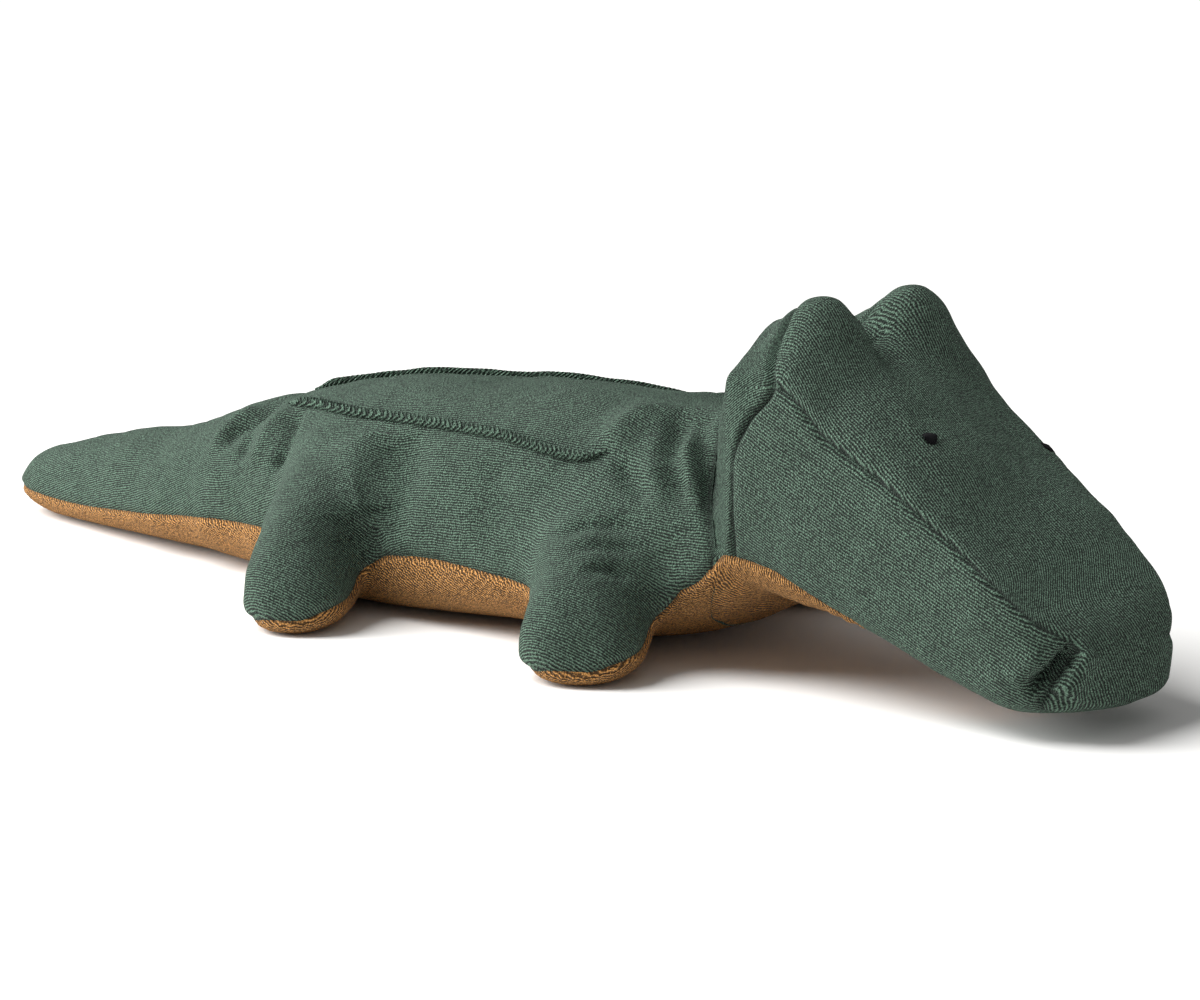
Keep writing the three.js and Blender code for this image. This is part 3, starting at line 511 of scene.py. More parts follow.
# Each fold: half width, rise (below zero a valley), share of its length that fades, its line.
FOLDS = [
    (4.5, -3.8, .3, [(-141, -10, 80), (-142, -27, 71), (-153, -32, 65), (-151, -42, 54)]),
    (3.5, -2.8, .4, [(-140, -32, 68), (-139, -42, 58), (-138, -46, 51)]),
    (4.5, -4.0, .3, [(-112, -28, 80), (-107, -44, 66), (-109, -53, 50)]),
    (5.5, 3.0, .3, [(-122, -24, 79), (-124, -42, 63), (-124, -49, 50)]),
    (5.0, 2.8, .3, [(-150, -14, 72), (-158, -26, 62), (-160, -36, 50)]),
    (4.0, -3.2, .0, [(-108, -49, 60), (-107, -51, 56)]),
    (14., 8.5, .25, [(-50, -48, 80), (-44, -60, 62), (-40, -66, 48), (-38, -70, 34)]),
    (11., -4.0, .3, [(-32, -46, 80), (-20, -61, 64), (-15, -69, 46), (-16, -71, 36)]),
    (11., -2.5, .3, [(30, -52, 83), (37, -65, 66), (41, -71, 51), (44, -73, 38)]),
    (8.0, 1.2, .4, [(-148, 16, 74), (-151, 0, 76), (-153, -16, 73), (-150, -28, 66)]),
    (8.0, -1.5, .4, [(-22, -45, 84), (-12, -62, 67), (-1, -70, 48)]),
    (3.2, -3.0, .4, [(108, -97, 46), (117, -88, 46), (126, -77, 39)]),
    (3.6, -2.8, .4, [(76, -82, 52), (91, -82, 58), (107, -73, 60), (123, -64, 56)]),
    (3.0, -2.2, .4, [(94, -91, 52), (110, -83, 54), (122, -67, 48)]),
    (9.0, 5.0, .4, [(82, -54, 84), (86, -44, 92), (90, -30, 98), (92, -14, 102)]),
    (12., 3.0, .3, [(103, -48, 87), (119, -58, 74), (132, -65, 60), (138, -67, 50)]),
    (4.5, -5.5, .35, [(91, -53, 84), (99, -55, 80), (109, -58, 76), (122, -62, 68)]),
    (5.0, -7.0, .35, [
        (115, -12, 103), (120, -26, 100), (128, -39, 94), (136, -50, 86), (146, -58, 75), (158, -65, 62),
    ]),
    (5.5, -6.5, .3, [(106, -16, 102), (110, -28, 99), (117, -45, 89), (127, -55, 79), (142, -63, 66)]),
    (3.8, 4.0, .3, [(118, -31, 98), (128, -46, 89), (135, -54, 80), (148, -62, 68)]),
]
HEAD_FOLDS = [
    (7.0, -4.5, .35, [(186, 4, 148), (194, -8, 146), (201, -16, 142), (212, -23, 136), (226, -30, 126)]),
    (3.0, -2.5, .35, [(194, -8, 146), (201, -16, 142), (212, -22, 136)]),
    (2.6, -12., .3, [(324, -57, 40), (322, -62, 34), (319, -65, 29), (314, -68, 25), (309, -70, 22)]),
    (2.0, -3.0, .4, [(319, -65, 28), (317, -67, 20), (314, -66, 12)]),
    (6.0, 3.5, .2, [(331, -54, 40), (328, -60, 29), (323, -64, 18)]),
    (5.0, 2.0, .2, [(316, -67, 36), (310, -70, 30), (305, -71, 24)]),
]
NOSTRIL_FOLD = HEAD_FOLDS[2]
# The far side's folds mirror the near ones, a little further ahead and shallower.
FAR_FOLD_AHEAD, FAR_FOLD_SHARE, FAR_NOSTRIL_SHARE = 4, .85, .25
# Each kind of lump: depth, length and seed.
STUFFING_LUMPS = ((.7, 42, 1), (.3, 15, 2))


def mirrored_in_head(corners):
    place, side, height = to_head(np.array(corners, float))
    return from_head(place, -side, height)


def fold_rise(points):
    """How far every fold lifts or sinks the skin at each point."""
    rise = np.zeros(len(points))
    tree = skin_tree(points)
    folds = FOLDS + HEAD_FOLDS
    for width, height, fade, line in FOLDS:
        mirrored = np.array(line, float) * (1, -1, 1) + (FAR_FOLD_AHEAD, 0, 0)
        folds.append((width, height * FAR_FOLD_SHARE, fade, mirrored))
    width, height, fade, line = NOSTRIL_FOLD
    folds.append((width, height * FAR_NOSTRIL_SHARE, fade, mirrored_in_head(line)))
    for width, height, fade, corners in folds:
        line, share = along_line(corners)
        line = points[nearest(tree, line)]
        box = np.all((points > line.min(0) - 3 * width) & (points < line.max(0) + 3 * width), 1)
        gap_shade = np.linalg.norm(points[box][:, None] - line[None], axis=2)
        taper = smooth_step(np.minimum(share, 1 - share), -.001, max(fade, .001))
        rise[box] += height * taper[gap_shade.argmin(1)] * np.exp(-(gap_shade.min(1) / width) ** 2)
    return rise


def lumps(points, size, seed):
    """Soft lumps of stuffing: waves of one size in random directions, mostly within -1 and 1."""
    random = np.random.default_rng(seed)
    total = np.zeros(len(points))
    for _ in range(14):
        way = random.normal(size=3)
        steps = points @ (way / np.linalg.norm(way)) * 2 * math.pi / (size * random.uniform(.8, 1.3))
        total += np.sin(steps + random.uniform(0, 7))
    return total / 5


def skin_normals(points):
    """The normals of the hide with its points moved to new places."""
    fine.vertices.foreach_set("co", (points * MM).ravel())
    fine.update()
    normals = np.empty(len(points) * 3)
    fine.vertices.foreach_get("normal", normals)
    return normals.reshape(-1, 3)


normals = skin_normals(points)
off_floor = smooth_step(points[:, 2], 2, 16)
rise = fold_rise(points)
for depth, length, seed in STUFFING_LUMPS:
    rise += depth * lumps(points, length, seed)
points = points + normals * (rise * off_floor)[:, None]
points = relaxed(points, edges, np.full(len(points), .3), 2)

# ---- Sewing lines
# Every panel ends in a plain machine seam with the cloth drawn in along it. Each line is the zero
# of a height or place, in millimetres, so that the cloth can be cut exactly along it.
# The three cuts are no seams: the toy bends there, and its real cloth runs on.
TAIL_CUT, NECK_CUT, LEG_CUT = -136.0, 108.0, 76.5
NECK_RADIUS = HINGE_RADIUS + 1.5
CHEEK_CORNER, NOSTRIL_TOP, NOSTRIL_FOOT, TUCKED_UNDER = 24.0, 160.0, 150.0, 13.5
# How far ahead the gusset reaches on its way round the head, as shares of CHEEK_CORNER.
gusset_edge = curve(
    (0, -.08), (1, .17), (1.55, .25), (1.8, .54), (2, 1), (2.15, .92), (2.4, .7), (2.7, .54), (3, .42),
)


def head_turn_at(size, place, side, height):
    """How far round the head a point is, counted as in head_section."""
    dome = np.maximum(size["crown"] - size["cheek"], 4)
    above = np.maximum(height - brow(place, side) - size["cheek"], 0) / dome
    across = np.abs(side) / np.maximum(size["half"], 1)
    crown = 2 + np.arctan2(above ** (CROWN_POWER / 2), across ** (CROWN_POWER / 2)) / (math.pi / 2)
    cheek = 1 + np.clip((height - size["jaw"]) / np.maximum(size["cheek"] - size["jaw"], 1), 0, 1)
    v = np.where(height > size["cheek"], crown, cheek)
    return np.where(side > 0, v, 6 - v)


def seam_fields(points):
    """Distances from every seam: above and ahead of it more than 0."""
    along = points[:, 0] - SPINE_START
    colour = points[:, 2] - body_sizes(along)["seam"]
    for leg in legs:
        out, side, height = leg.place(points)
        forward = smooth_step(-leg.way * side / leg.half_width, .2, 1)
        sole = sole_height(np.clip(out, -LEG_ROOT_DEPTH, leg.length), leg.length)
        beside = smooth_step(-np.abs(side), -leg.half_width - 14, -leg.half_width + 2)
        colour = mix(colour, height - sole - FORWARD_RISE * forward, beside * smooth_step(out, -8, 16))
    place, side, height = to_head(points)
    size = head_sizes(np.clip(place, -HEAD_REAR, HEAD_LENGTH))
    tucked_under = TUCKED_UNDER * smooth_step(place, 22, 75)
    colour = mix(colour, height - size["jaw"] + tucked_under, smooth_step(place, -14, 0))
    v = head_turn_at(size, place, side, height)
    v = np.minimum(v, 6 - v)
    distance = np.hypot(points[:, 0] - head_hinge[0], points[:, 1] - head_hinge[1])
    return {
        "colour": colour,
        "crown": height - size["cheek"] + .6 * np.maximum(size["half"] - np.abs(side) - 1.5, 0),
        "gusset": place - CHEEK_CORNER * gusset_edge(v),
        "groove": place - mix(NOSTRIL_FOOT, NOSTRIL_TOP, np.clip(v - 1, 0, 1)),
        "neck": np.where(place < 30, NECK_RADIUS - distance, 9),
        "head": place,
    }


def drawn_in(distance, width):
    """1 on a line, fading beside it."""
    return np.exp(-(distance / width) ** 2)


def seam_depths(fields):
    """How much each seam draws the cloth in at each point."""
    side = (fields["head"] > -2) & (fields["colour"] > -1)
    ahead = side & (fields["gusset"] > -1) & (fields["groove"] < 1)
    fading = 1 - .65 * smooth_step(fields["head"], 130, 152)
    return np.max([
        1.4 * drawn_in(fields["colour"], 2.0),
        2.4 * drawn_in(fields["neck"], 2.6) * (fields["colour"] > -2),
        1.9 * fading * drawn_in(fields["crown"], 1.8) * ahead,
        2.6 * drawn_in(fields["gusset"], 1.8) * side,
        .9 * drawn_in(fields["groove"], 2.0) * (side & (fields["crown"] < 1)),
    ], 0)


def puckers(points, fields):
    """Slanting ripples of the tan cloth where the green is sewn to it, dying out below the seam."""
    height, length, slant, reach = .42, 4.4, .9, 10
    below = -fields["colour"]
    phase = (points[:, 0] + slant * below + 2.5 * lumps(points, 30, 3)) / length
    ripple = height * np.sin(2 * math.pi * phase) * np.exp(-np.maximum(below, 0) / reach)
    return ripple * smooth_step(below, .3, 3) * smooth_step(points[:, 2], 1, 6)


fields = seam_fields(points)
normals = skin_normals(points)
points = points + normals * (puckers(points, fields) - seam_depths(fields))[:, None]
points[:, 2] = np.maximum(points[:, 2], 0)
normals = skin_normals(points)
fine.calc_loop_triangles()
triangles = np.empty(len(fine.loop_triangles) * 3, np.int32)
fine.loop_triangles.foreach_get("vertices", triangles)
triangles = triangles.reshape(-1, 3)
table = np.concatenate([points, normals], 1)


def cut(table, triangles, field):
    """Splits every triangle along the zero of a field, so that no triangle crosses it."""
    field = np.where(np.abs(field) < 1e-4, 0, field)
    sign = np.sign(field)
    pairs = np.sort(np.concatenate([triangles[:, [0, 1]], triangles[:, [1, 2]], triangles[:, [2, 0]]]), 1)
    crossing = sign[pairs[:, 0]] * sign[pairs[:, 1]] < 0
    unique, inverse = np.unique(pairs[crossing], axis=0, return_inverse=True)
    a, b = unique.T
    t = (field[a] / (field[a] - field[b]))[:, None]
    number = np.full(len(pairs), -1)
    number[crossing] = len(table) + inverse.ravel()
    number = number.reshape(3, -1).T
    table = np.concatenate([table, mix(table[a], table[b], t)])
    count = (number >= 0).sum(1)
    parts = [triangles[count == 0]]
    for turn in range(3):
        t0, t1, t2 = (triangles[:, (turn + k) % 3] for k in range(3))
        e0, e1, e2 = (number[:, (turn + k) % 3] for k in range(3))
        lone = (count == 2) & (e0 >= 0) & (e2 >= 0)
        for corners in ((t0, e0, e2), (e0, t1, t2), (e0, t2, e2)):
            parts.append(np.stack([c[lone] for c in corners], -1))
        half = (count == 1) & (e1 >= 0)
        for corners in ((t0, t1, e1), (t0, e1, t2)):
            parts.append(np.stack([c[half] for c in corners], -1))
    return table, np.concatenate(parts)


for name in ("colour", "crown", "gusset", "groove", "neck"):
    table, triangles = cut(table, triangles, seam_fields(table[:, :3])[name])
for axis, place in ((0, TAIL_CUT), (0, NECK_CUT), (1, LEG_CUT), (1, -LEG_CUT)):
    table, triangles = cut(table, triangles, table[:, axis] - place)
middle = table[triangles][:, :, :3].mean(1)
fields = seam_fields(middle)
green = fields["colour"] > 0
on_head = (fields["neck"] > 0) & (fields["head"] < 60) | (fields["head"] > HINGE_AHEAD)
panel = np.where(green, "trunk_back", "trunk_belly").astype("<U24")
for zone, upper, lower in (
    (middle[:, 0] < TAIL_CUT, "tail_top", "tail_underside"),
    (middle[:, 0] > NECK_CUT, "neck_top", "neck_underside"),
    *(
        ((middle[:, 1] * leg.way > LEG_CUT) & (np.abs(middle[:, 0] - leg.hinge[0]) < 75) & ~on_head,
         leg.name + "_top", leg.name + "_sole")
        for leg in legs
    ),
    (on_head, "gusset", "chin"),
):
    panel[zone & green] = upper
    panel[zone & ~green] = lower
ahead = on_head & green & (fields["gusset"] > 0)
panel[ahead] = "crown"
cheek = ahead & (fields["crown"] < 0) & (fields["groove"] < 0)
_, head_side, _ = to_head(middle)
panel[cheek & (head_side < 0)] = "right_cheek"
panel[cheek & (head_side > 0)] = "left_cheek"


# The head's back goes on as a round wall inside the neck, so that no hole opens when the head
# turns. It is sewn to the gusset's edge, and stands a little inside it.
def inner_round(table, columns=64, rows=16):
    """More rows for the table of points, and their triangles, counted from 0."""
    flat = table[:, :2] - head_hinge
    place, _, _ = to_head(table[:, :3])
    edge = (np.abs(np.hypot(*flat.T) - NECK_RADIUS) < .02) & (place < HINGE_AHEAD)
    beside = square_to(head_axis)
    angle = np.arctan2(flat[edge] @ beside, -(flat[edge] @ head_axis))
    turns = np.linspace(angle.min() + .03, angle.max() - .03, columns)
    close = np.abs(angle - turns[:, None]) < .03
    top = np.where(close, table[edge, 2], -1).max(1) - .3
    bottom = np.where(close, table[edge, 2], 999).min(1) + .3
    out = np.sin(turns)[:, None] * beside - np.cos(turns)[:, None] * head_axis
    wall = head_hinge + out * (NECK_RADIUS - 1.2)
    level = np.zeros((columns, 1))
    heights = [mix(bottom, top, share)[:, None] for share in np.linspace(0, 1, rows)]
    index = np.arange(rows * columns).reshape(rows, columns)
    corners = index[:-1, :-1], index[1:, :-1], index[1:, 1:], index[:-1, 1:]
    a, b, c, d = (corner.ravel() for corner in corners)
    return (
        np.concatenate([np.concatenate([wall, height, out, level], 1) for height in heights]),
        np.concatenate([np.stack([a, b, c], -1), np.stack([a, c, d], -1)]),
    )


round_rows, round_triangles = inner_round(table)
triangles = np.concatenate([triangles, round_triangles + len(table)])
table = np.concatenate([table, round_rows])
panel = np.concatenate([panel, np.full(len(round_triangles), "gusset", dtype="<U24")])

# ---- Terry cloth
# Looped knit terry of cotton and polyester: rows of small soft loops a millimetre apart, matt,
# with a faint sheen where the loops catch the light and a mottle where the pile lies differently.
GREEN_CLOTH, TAN_CLOTH = "#647f6d", "#d49a58"
ROW_SPACING, LOOP_SPACING, PILE_DEPTH = 1.15, .95, 1.1
# Rows wander by up to this much, over waves of 6 mm. The mottle's patches are 9 mm across.
ROW_DRIFT, DRIFTS_PER_METRE, PATCHES_PER_METRE = 1.6, 160.0, 110.0


def linear(code, strength=1.0):
    """An sRGB hex colour as linear values with full opacity."""
    channels = [int(code[i:i + 2], 16) / 255 for i in (1, 3, 5)]
    values = [c / 12.92 if c <= .04045 else ((c + .055) / 1.055) ** 2.4 for c in channels]
    return [strength * value for value in values] + [1]


def add_node(tree, kind, settings=None, **links):
    """One node with its settings. A link gives an input a value or a (node, output).

    The input goes by its name, with _ for a space, or by its number, as in0, in1 and so on.
    """
    node = tree.nodes.new(kind)
    for key, value in (settings or {}).items():
        setattr(node, key, value)
    names = [socket.name.replace(" ", "_") for socket in node.inputs]
    for key, value in links.items():
        numbered = key.startswith("in") and key[2:].isdigit()
        socket = node.inputs[int(key[2:]) if numbered else names.index(key)]
        if isinstance(value, tuple) and hasattr(value[0], "outputs"):
            tree.links.new(value[0].outputs[value[1]], socket)
        else:
            socket.default_value = value
    return node


def terry(name, colour, gap_shade):
    """Terry of one colour, and how bright the painted shade leaves the hollows between its loops.

    The loops are the cells of a solid pattern, so they are as large on every slope. Their rows come from the
    cloth's own places. Both together give the pile's height, which makes the bumps, and which the colour
    follows too: painted shade in the hollows between loops, lighter loop tops.
    """
    material = bpy.data.materials.new(name)
    material.use_nodes = True
    tree = material.node_tree
    tree.nodes.clear()
    multiply, multiply_add = {"operation": "MULTIPLY"}, {"operation": "MULTIPLY_ADD"}
    where = (add_node(tree, "ShaderNodeTexCoord"), "Object")
    cloth = add_node(tree, "ShaderNodeUVMap", {"uv_map": "cloth"})
    across = add_node(tree, "ShaderNodeSeparateXYZ", Vector=(cloth, "UV"))
    drift = add_node(tree, "ShaderNodeTexNoise", Vector=where, Scale=DRIFTS_PER_METRE, Detail=2.0)
    place = add_node(
        tree, "ShaderNodeMath", multiply_add, in0=(drift, "Fac"), in1=ROW_DRIFT, in2=(across, "Y"),
    )
    turn = add_node(tree, "ShaderNodeMath", multiply, in0=(place, "Value"), in1=2 * math.pi / ROW_SPACING)
    row = add_node(tree, "ShaderNodeMath", {"operation": "COSINE"}, in0=(turn, "Value"))
    scaled = add_node(tree, "ShaderNodeMapping", Vector=where, Scale=(1 / MM / LOOP_SPACING,) * 3)
    cells = add_node(
        tree, "ShaderNodeTexVoronoi", {"feature": "F1"}, Vector=(scaled, "Vector"), Scale=1.0, Randomness=.85,
    )
    loops = add_node(
        tree, "ShaderNodeMapRange",
        Value=(cells, "Distance"), From_Min=.1, From_Max=.75, To_Min=1.0, To_Max=0.0,
    )
    pile = add_node(tree, "ShaderNodeMath", multiply_add, in0=(row, "Value"), in1=.5, in2=(loops, "Result"))
    bump = add_node(tree, "ShaderNodeBump", Strength=1.0, Distance=PILE_DEPTH * MM, Height=(pile, "Value"))
    mottle = add_node(
        tree, "ShaderNodeTexNoise", Vector=where, Scale=PATCHES_PER_METRE, Detail=5.0, Roughness=.7,
    )
    shade = add_node(tree, "ShaderNodeMath", multiply_add, in0=(mottle, "Fac"), in1=.3, in2=(pile, "Value"))
    tint = add_node(
        tree, "ShaderNodeMapRange",
        Value=(shade, "Value"), From_Min=.28, From_Max=1.16, To_Min=0.0, To_Max=1.0,
    )
    # Painted shade: the colour follows the pile's height, dark down between the loops and lighter on their
    # tops.
    pile_shaded_colour = add_node(
        tree, "ShaderNodeMix", {"data_type": "RGBA"},
        in0=(tint, "Result"), in6=linear(colour, gap_shade), in7=linear(colour, 1.5),
    )
    # Painted shade on the seams: along each seam line the colour goes most of the way to near black.
    pressed = add_node(tree, "ShaderNodeAttribute", {"attribute_name": "pressed"})
    darker = add_node(tree, "ShaderNodeMath", multiply, in0=(pressed, "Fac"), in1=.75)
    seam_shaded_colour = add_node(
        tree, "ShaderNodeMix", {"data_type": "RGBA"},
        in0=(darker, "Value"), in6=(pile_shaded_colour, 2), in7=linear(colour, .08),
    )
    surface = add_node(
        tree, "ShaderNodeBsdfPrincipled", Base_Color=(seam_shaded_colour, 2), Normal=(bump, "Normal"), Roughness=1.0,
        Sheen_Weight=.08, Sheen_Roughness=.6, Specular_IOR_Level=.1,
    )
    add_node(tree, "ShaderNodeOutputMaterial", Surface=(surface, "BSDF"))
    return material


# The last number is how bright the painted shade leaves the hollows between each cloth's loops.
green_terry = terry("green_looped_terry", GREEN_CLOTH, .12)
tan_terry = terry("tan_looped_terry", TAN_CLOTH, .16)


def arc_table(section, places, turns, start):
    """Lengths of cloth round a form from one line, for a place and a turn."""
    grid_place, grid_turn = np.meshgrid(places, turns, indexing="ij")
    side, height = section(grid_place, grid_turn)
    step = np.hypot(np.diff(side, axis=1), np.diff(height, axis=1))
    lengths = np.concatenate([np.zeros((len(places), 1)), np.cumsum(step, 1)], 1)
    lengths = lengths - lengths[:, [np.argmin(np.abs(turns - start))]]

    def at(place, turn):
        x = np.clip(np.interp(place, places, np.arange(len(places))), 0, len(places) - 1.001)
        y = np.clip(np.interp(turn, turns, np.arange(len(turns))), 0, len(turns) - 1.001)
        i, j = x.astype(int), y.astype(int)
        p, q = x - i, y - j
        low = mix(lengths[i, j], lengths[i, j + 1], q)
        return mix(low, mix(lengths[i + 1, j], lengths[i + 1, j + 1], q), p)
    return at


def trunk_section(along, turn):
    return round_section(body_sizes(along), turn)


body_arc = arc_table(
    trunk_section, np.linspace(-TAIL_LENGTH, TRUNK_LENGTH, 120), np.linspace(0, 2, 200), .5,
)
head_arc = arc_table(
    head_section, np.linspace(-HEAD_REAR, HEAD_LENGTH, 120), np.linspace(0, 6, 240), 3,
)


def is_tan(name):
    return name in ("trunk_belly", "neck_underside", "tail_underside", "chin") or name.endswith("_sole")


def crown_places(place, side, height, sizes):
    """The crown's rows run along the head and over the brows, and turn level round the snout."""
    outer = np.sign(side) * np.minimum(np.abs(side), BROW_OFFSET + BROW_LEAN * np.sign(side))
    below = np.maximum(sizes["crown"] - height + brow(place, outer), 0)
    across = side + .65 * side / (np.abs(side) + 14) * below
    at_front = smooth_step(place, 128, 156)
    return place * .83 - height * .56, mix(across, side * .9 + height * .4, at_front) * .86


def cloth_places(name, points):
    """Places on the cloth in millimetres: along the rows, then across them."""
    along = points[:, 0] - SPINE_START
    if name in ("crown", "gusset", "chin", "right_cheek", "left_cheek"):
        place, side, height = to_head(points)
        head = head_sizes(np.clip(place, -HEAD_REAR, HEAD_LENGTH))
        if name == "crown":
            return crown_places(place, side, height, head)
        if name == "gusset":
            return place, head_arc(place, head_turn_at(head, place, side, height))
        if name == "chin":
            return side, place
        return place * .9 - height * .42, height * .9 + place * .42
    if is_tan(name):
        slanting = along * .5 + np.abs(points[:, 1]) * .55 + points[:, 2] * .67
        return along * .8 - points[:, 2] * .6, slanting
    size = body_sizes(along)
    across = body_arc(along, section_turn(size, points[:, 1] - size["middle"], points[:, 2]))
    for leg in legs:
        out, side, height = leg.place(points)
        over_leg = leg.way * 52 + leg.way * .8 * (np.abs(points[:, 1]) - 50 + 74 - height)
        beside = smooth_step(-np.abs(side), -leg.half_width - 26, -leg.half_width - 4)
        across = mix(across, -over_leg, smooth_step(out, -12, 22) * beside)
    return along, across


# ---- Panels of cloth
# Each panel is its own piece of cloth with its own rows, and the head's panels go with the head.
def painted_seam_shade(points):
    """Painted shade along the seams and in the nostril groove, from 1 on a seam's stitches to 0 a loop beside
    it.
    """
    at = seam_fields(points)
    side = (at["head"] > -2) & (at["colour"] > -.5)
    return np.max([
        .5 * drawn_in(at["colour"], 1.0),
        drawn_in(at["crown"], 1.0) * (side & (at["gusset"] > -.5) & (at["groove"] < .5)),
        drawn_in(at["gusset"], 1.0) * side,
        .8 * drawn_in(at["neck"], 1.2) * (at["colour"] > -.5),
        .8 * drawn_in(at["groove"], 1.2) * (side & (at["crown"] < .5)),
    ], 0)


def lay_rows(mesh, along, across):
    """Each point's place on the cloth as a UV map, which the terry's rows follow."""
    corners = np.empty(len(mesh.loops), int)
    mesh.loops.foreach_get("vertex_index", corners)
    layer = mesh.uv_layers.new(name="cloth")
    layer.data.foreach_set("uv", np.stack([along, across], -1)[corners].ravel())


def sewn_piece(name, material, slot_name):
    """One panel's triangles as a piece, with the whole hide's normals across its seams."""
    used, renumbered = np.unique(triangles[panel == name], return_inverse=True)
    rows = table[used]
    mesh = bpy.data.meshes.new(name)
    mesh.from_pydata((rows[:, :3] * MM).tolist(), [], renumbered.reshape(-1, 3).tolist())
    lay_rows(mesh, *cloth_places(name, rows[:, :3]))
    # The painted shade along the seams, kept on each point for the terry to darken by.
    pressed = mesh.attributes.new("pressed", "FLOAT", "POINT")
    pressed.data.foreach_set("value", painted_seam_shade(rows[:, :3]))
    mesh.shade_smooth()
    mesh.normals_split_custom_set_from_vertices(rows[:, 3:].tolist())
    mesh.materials.append(material)
    piece = placed(name, mesh)
    return piece


pieces = {}
for name in sorted(set(panel)):
    cloth = (tan_terry, "tan_terry") if is_tan(name) else (green_terry, "green_terry")
    pieces[name] = sewn_piece(name, *cloth)
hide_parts("back_skin", "trunk_filling")
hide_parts("belly_skin")
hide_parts("tail_top_skin", "tail_filling")
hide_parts("tail_under_skin")
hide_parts("head_back_gusset", "head_filling")
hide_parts("crown_panel")
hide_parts("right_cheek_panel")
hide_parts("left_cheek_panel")
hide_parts("chin_panel")
for leg in legs:
    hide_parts(leg.name + "_top_skin", leg.name + "_filling")
    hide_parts(leg.name + "_sole_skin")

# The trunk's panels go with the trunk and the head's with the head. The tail's, neck's and legs' panels stay
# where they are in the frame.
for name, piece in pieces.items():
    if name in ("trunk_back", "trunk_belly"):
        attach(piece, "trunk")
    elif name.startswith("tail"):
        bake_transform(piece)
    elif name.startswith("neck"):
        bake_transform(piece)
    elif "leg" in name:
        leg = next(leg for leg in legs if name.startswith(leg.name))
        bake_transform(piece)
    else:
        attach(piece, "head")

# ---- Back tucks
# Two pin tucks from the tail's root to the shoulders: the back's own cloth, pinched up and whipped
# over with thread, so that it stands as a thin ridge of slanting strands.
TUCK_SPREAD, TUCK_LEAN, TUCK_END, TUCK_LIFT = 45.0, -9.0, 238.0, 1.5
TUCK_STARTS, TUCK_END_OUT = {"right": 27.0, "left": 12.0}, 5
TUCK_RADIUS, TUCK_STRANDS, TUCK_TURN, STRAND_DEPTH = 2.2, 5, 13.5, .2
tuck_spread = curve((0, .38), (.25, .66), (.44, .78), (.68, .89), (.92, 1), (1, 1))


def tree_with_inputs(name, **inputs):
    """A geometry node tree with a curve in, a mesh out and named inputs besides."""
    tree = bpy.data.node_groups.new(name, "GeometryNodeTree")
    tree.interface.new_socket("Geometry", in_out="INPUT", socket_type="NodeSocketGeometry")
    tree.interface.new_socket("Geometry", in_out="OUTPUT", socket_type="NodeSocketGeometry")
    for key, kind in inputs.items():
        tree.interface.new_socket(key.replace("_", " "), in_out="INPUT", socket_type=kind)
    return tree, tree.nodes.new("NodeGroupInput")


def twisted_fold():
    """A lobed ring swept along the tuck's line and twisted as it goes, thinner at both ends."""
    tree, given = tree_with_inputs(
        "tuck_twist", Radius="NodeSocketFloat", Strands="NodeSocketFloat", Length_of_turn="NodeSocketFloat",
        Cloth="NodeSocketMaterial",
    )
    multiply, multiply_add = {"operation": "MULTIPLY"}, {"operation": "MULTIPLY_ADD"}
    line = add_node(tree, "GeometryNodeResampleCurve", Curve=(given, "Geometry"), Count=360)
    place = add_node(tree, "GeometryNodeSplineParameter")
    turns = add_node(
        tree, "ShaderNodeMath", {"operation": "DIVIDE"}, in0=(place, "Length"), in1=(given, "Length of turn"),
    )
    angle = add_node(tree, "ShaderNodeMath", multiply, in0=(turns, "Value"), in1=2 * math.pi)
    tilted = add_node(tree, "GeometryNodeSetCurveTilt", Curve=(line, "Curve"), Tilt=(angle, "Value"))
    from_end = add_node(tree, "ShaderNodeMath", {"operation": "PINGPONG"}, in0=(place, "Factor"), in1=.5)
    taper = add_node(
        tree, "ShaderNodeMapRange", {"interpolation_type": "SMOOTHSTEP"},
        Value=(from_end, "Value"), From_Min=0.0, From_Max=.06, To_Min=.25, To_Max=1.0,
    )
    sized = add_node(tree, "GeometryNodeSetCurveRadius", Curve=(tilted, "Curve"), Radius=(taper, "Result"))
    ring = add_node(tree, "GeometryNodeCurvePrimitiveCircle", Resolution=50, Radius=(given, "Radius"))
    where = add_node(tree, "GeometryNodeInputPosition")
    parts = add_node(tree, "ShaderNodeSeparateXYZ", Vector=(where, "Position"))
    round_it = add_node(tree, "ShaderNodeMath", {"operation": "ARCTAN2"}, in0=(parts, "Y"), in1=(parts, "X"))
    strand = add_node(tree, "ShaderNodeMath", multiply, in0=(round_it, "Value"), in1=(given, "Strands"))
    wave = add_node(tree, "ShaderNodeMath", {"operation": "COSINE"}, in0=(strand, "Value"))
    lobe = add_node(tree, "ShaderNodeMath", multiply_add, in0=(wave, "Value"), in1=STRAND_DEPTH, in2=1.0)
    moved = add_node(
        tree, "ShaderNodeVectorMath", {"operation": "SCALE"}, in0=(where, "Position"), Scale=(lobe, "Value"),
    )
    profile = add_node(tree, "GeometryNodeSetPosition", Geometry=(ring, "Curve"), Position=(moved, "Vector"))
    swept = add_node(
        tree, "GeometryNodeCurveToMesh", Curve=(sized, "Curve"), Profile_Curve=(profile, "Geometry"),
        Fill_Caps=True,
    )
    if "Scale" in swept.inputs:
        radius = add_node(tree, "GeometryNodeInputRadius")
        tree.links.new(radius.outputs["Radius"], swept.inputs["Scale"])
    real = add_node(tree, "GeometryNodeRealizeInstances", Geometry=(swept, "Mesh"))
    cloth = add_node(
        tree, "GeometryNodeSetMaterial", Geometry=(real, "Geometry"), Material=(given, "Cloth"),
    )
    add_node(tree, "NodeGroupOutput", Geometry=(cloth, "Geometry"))
    return tree


sewn_tree = skin_tree(points)


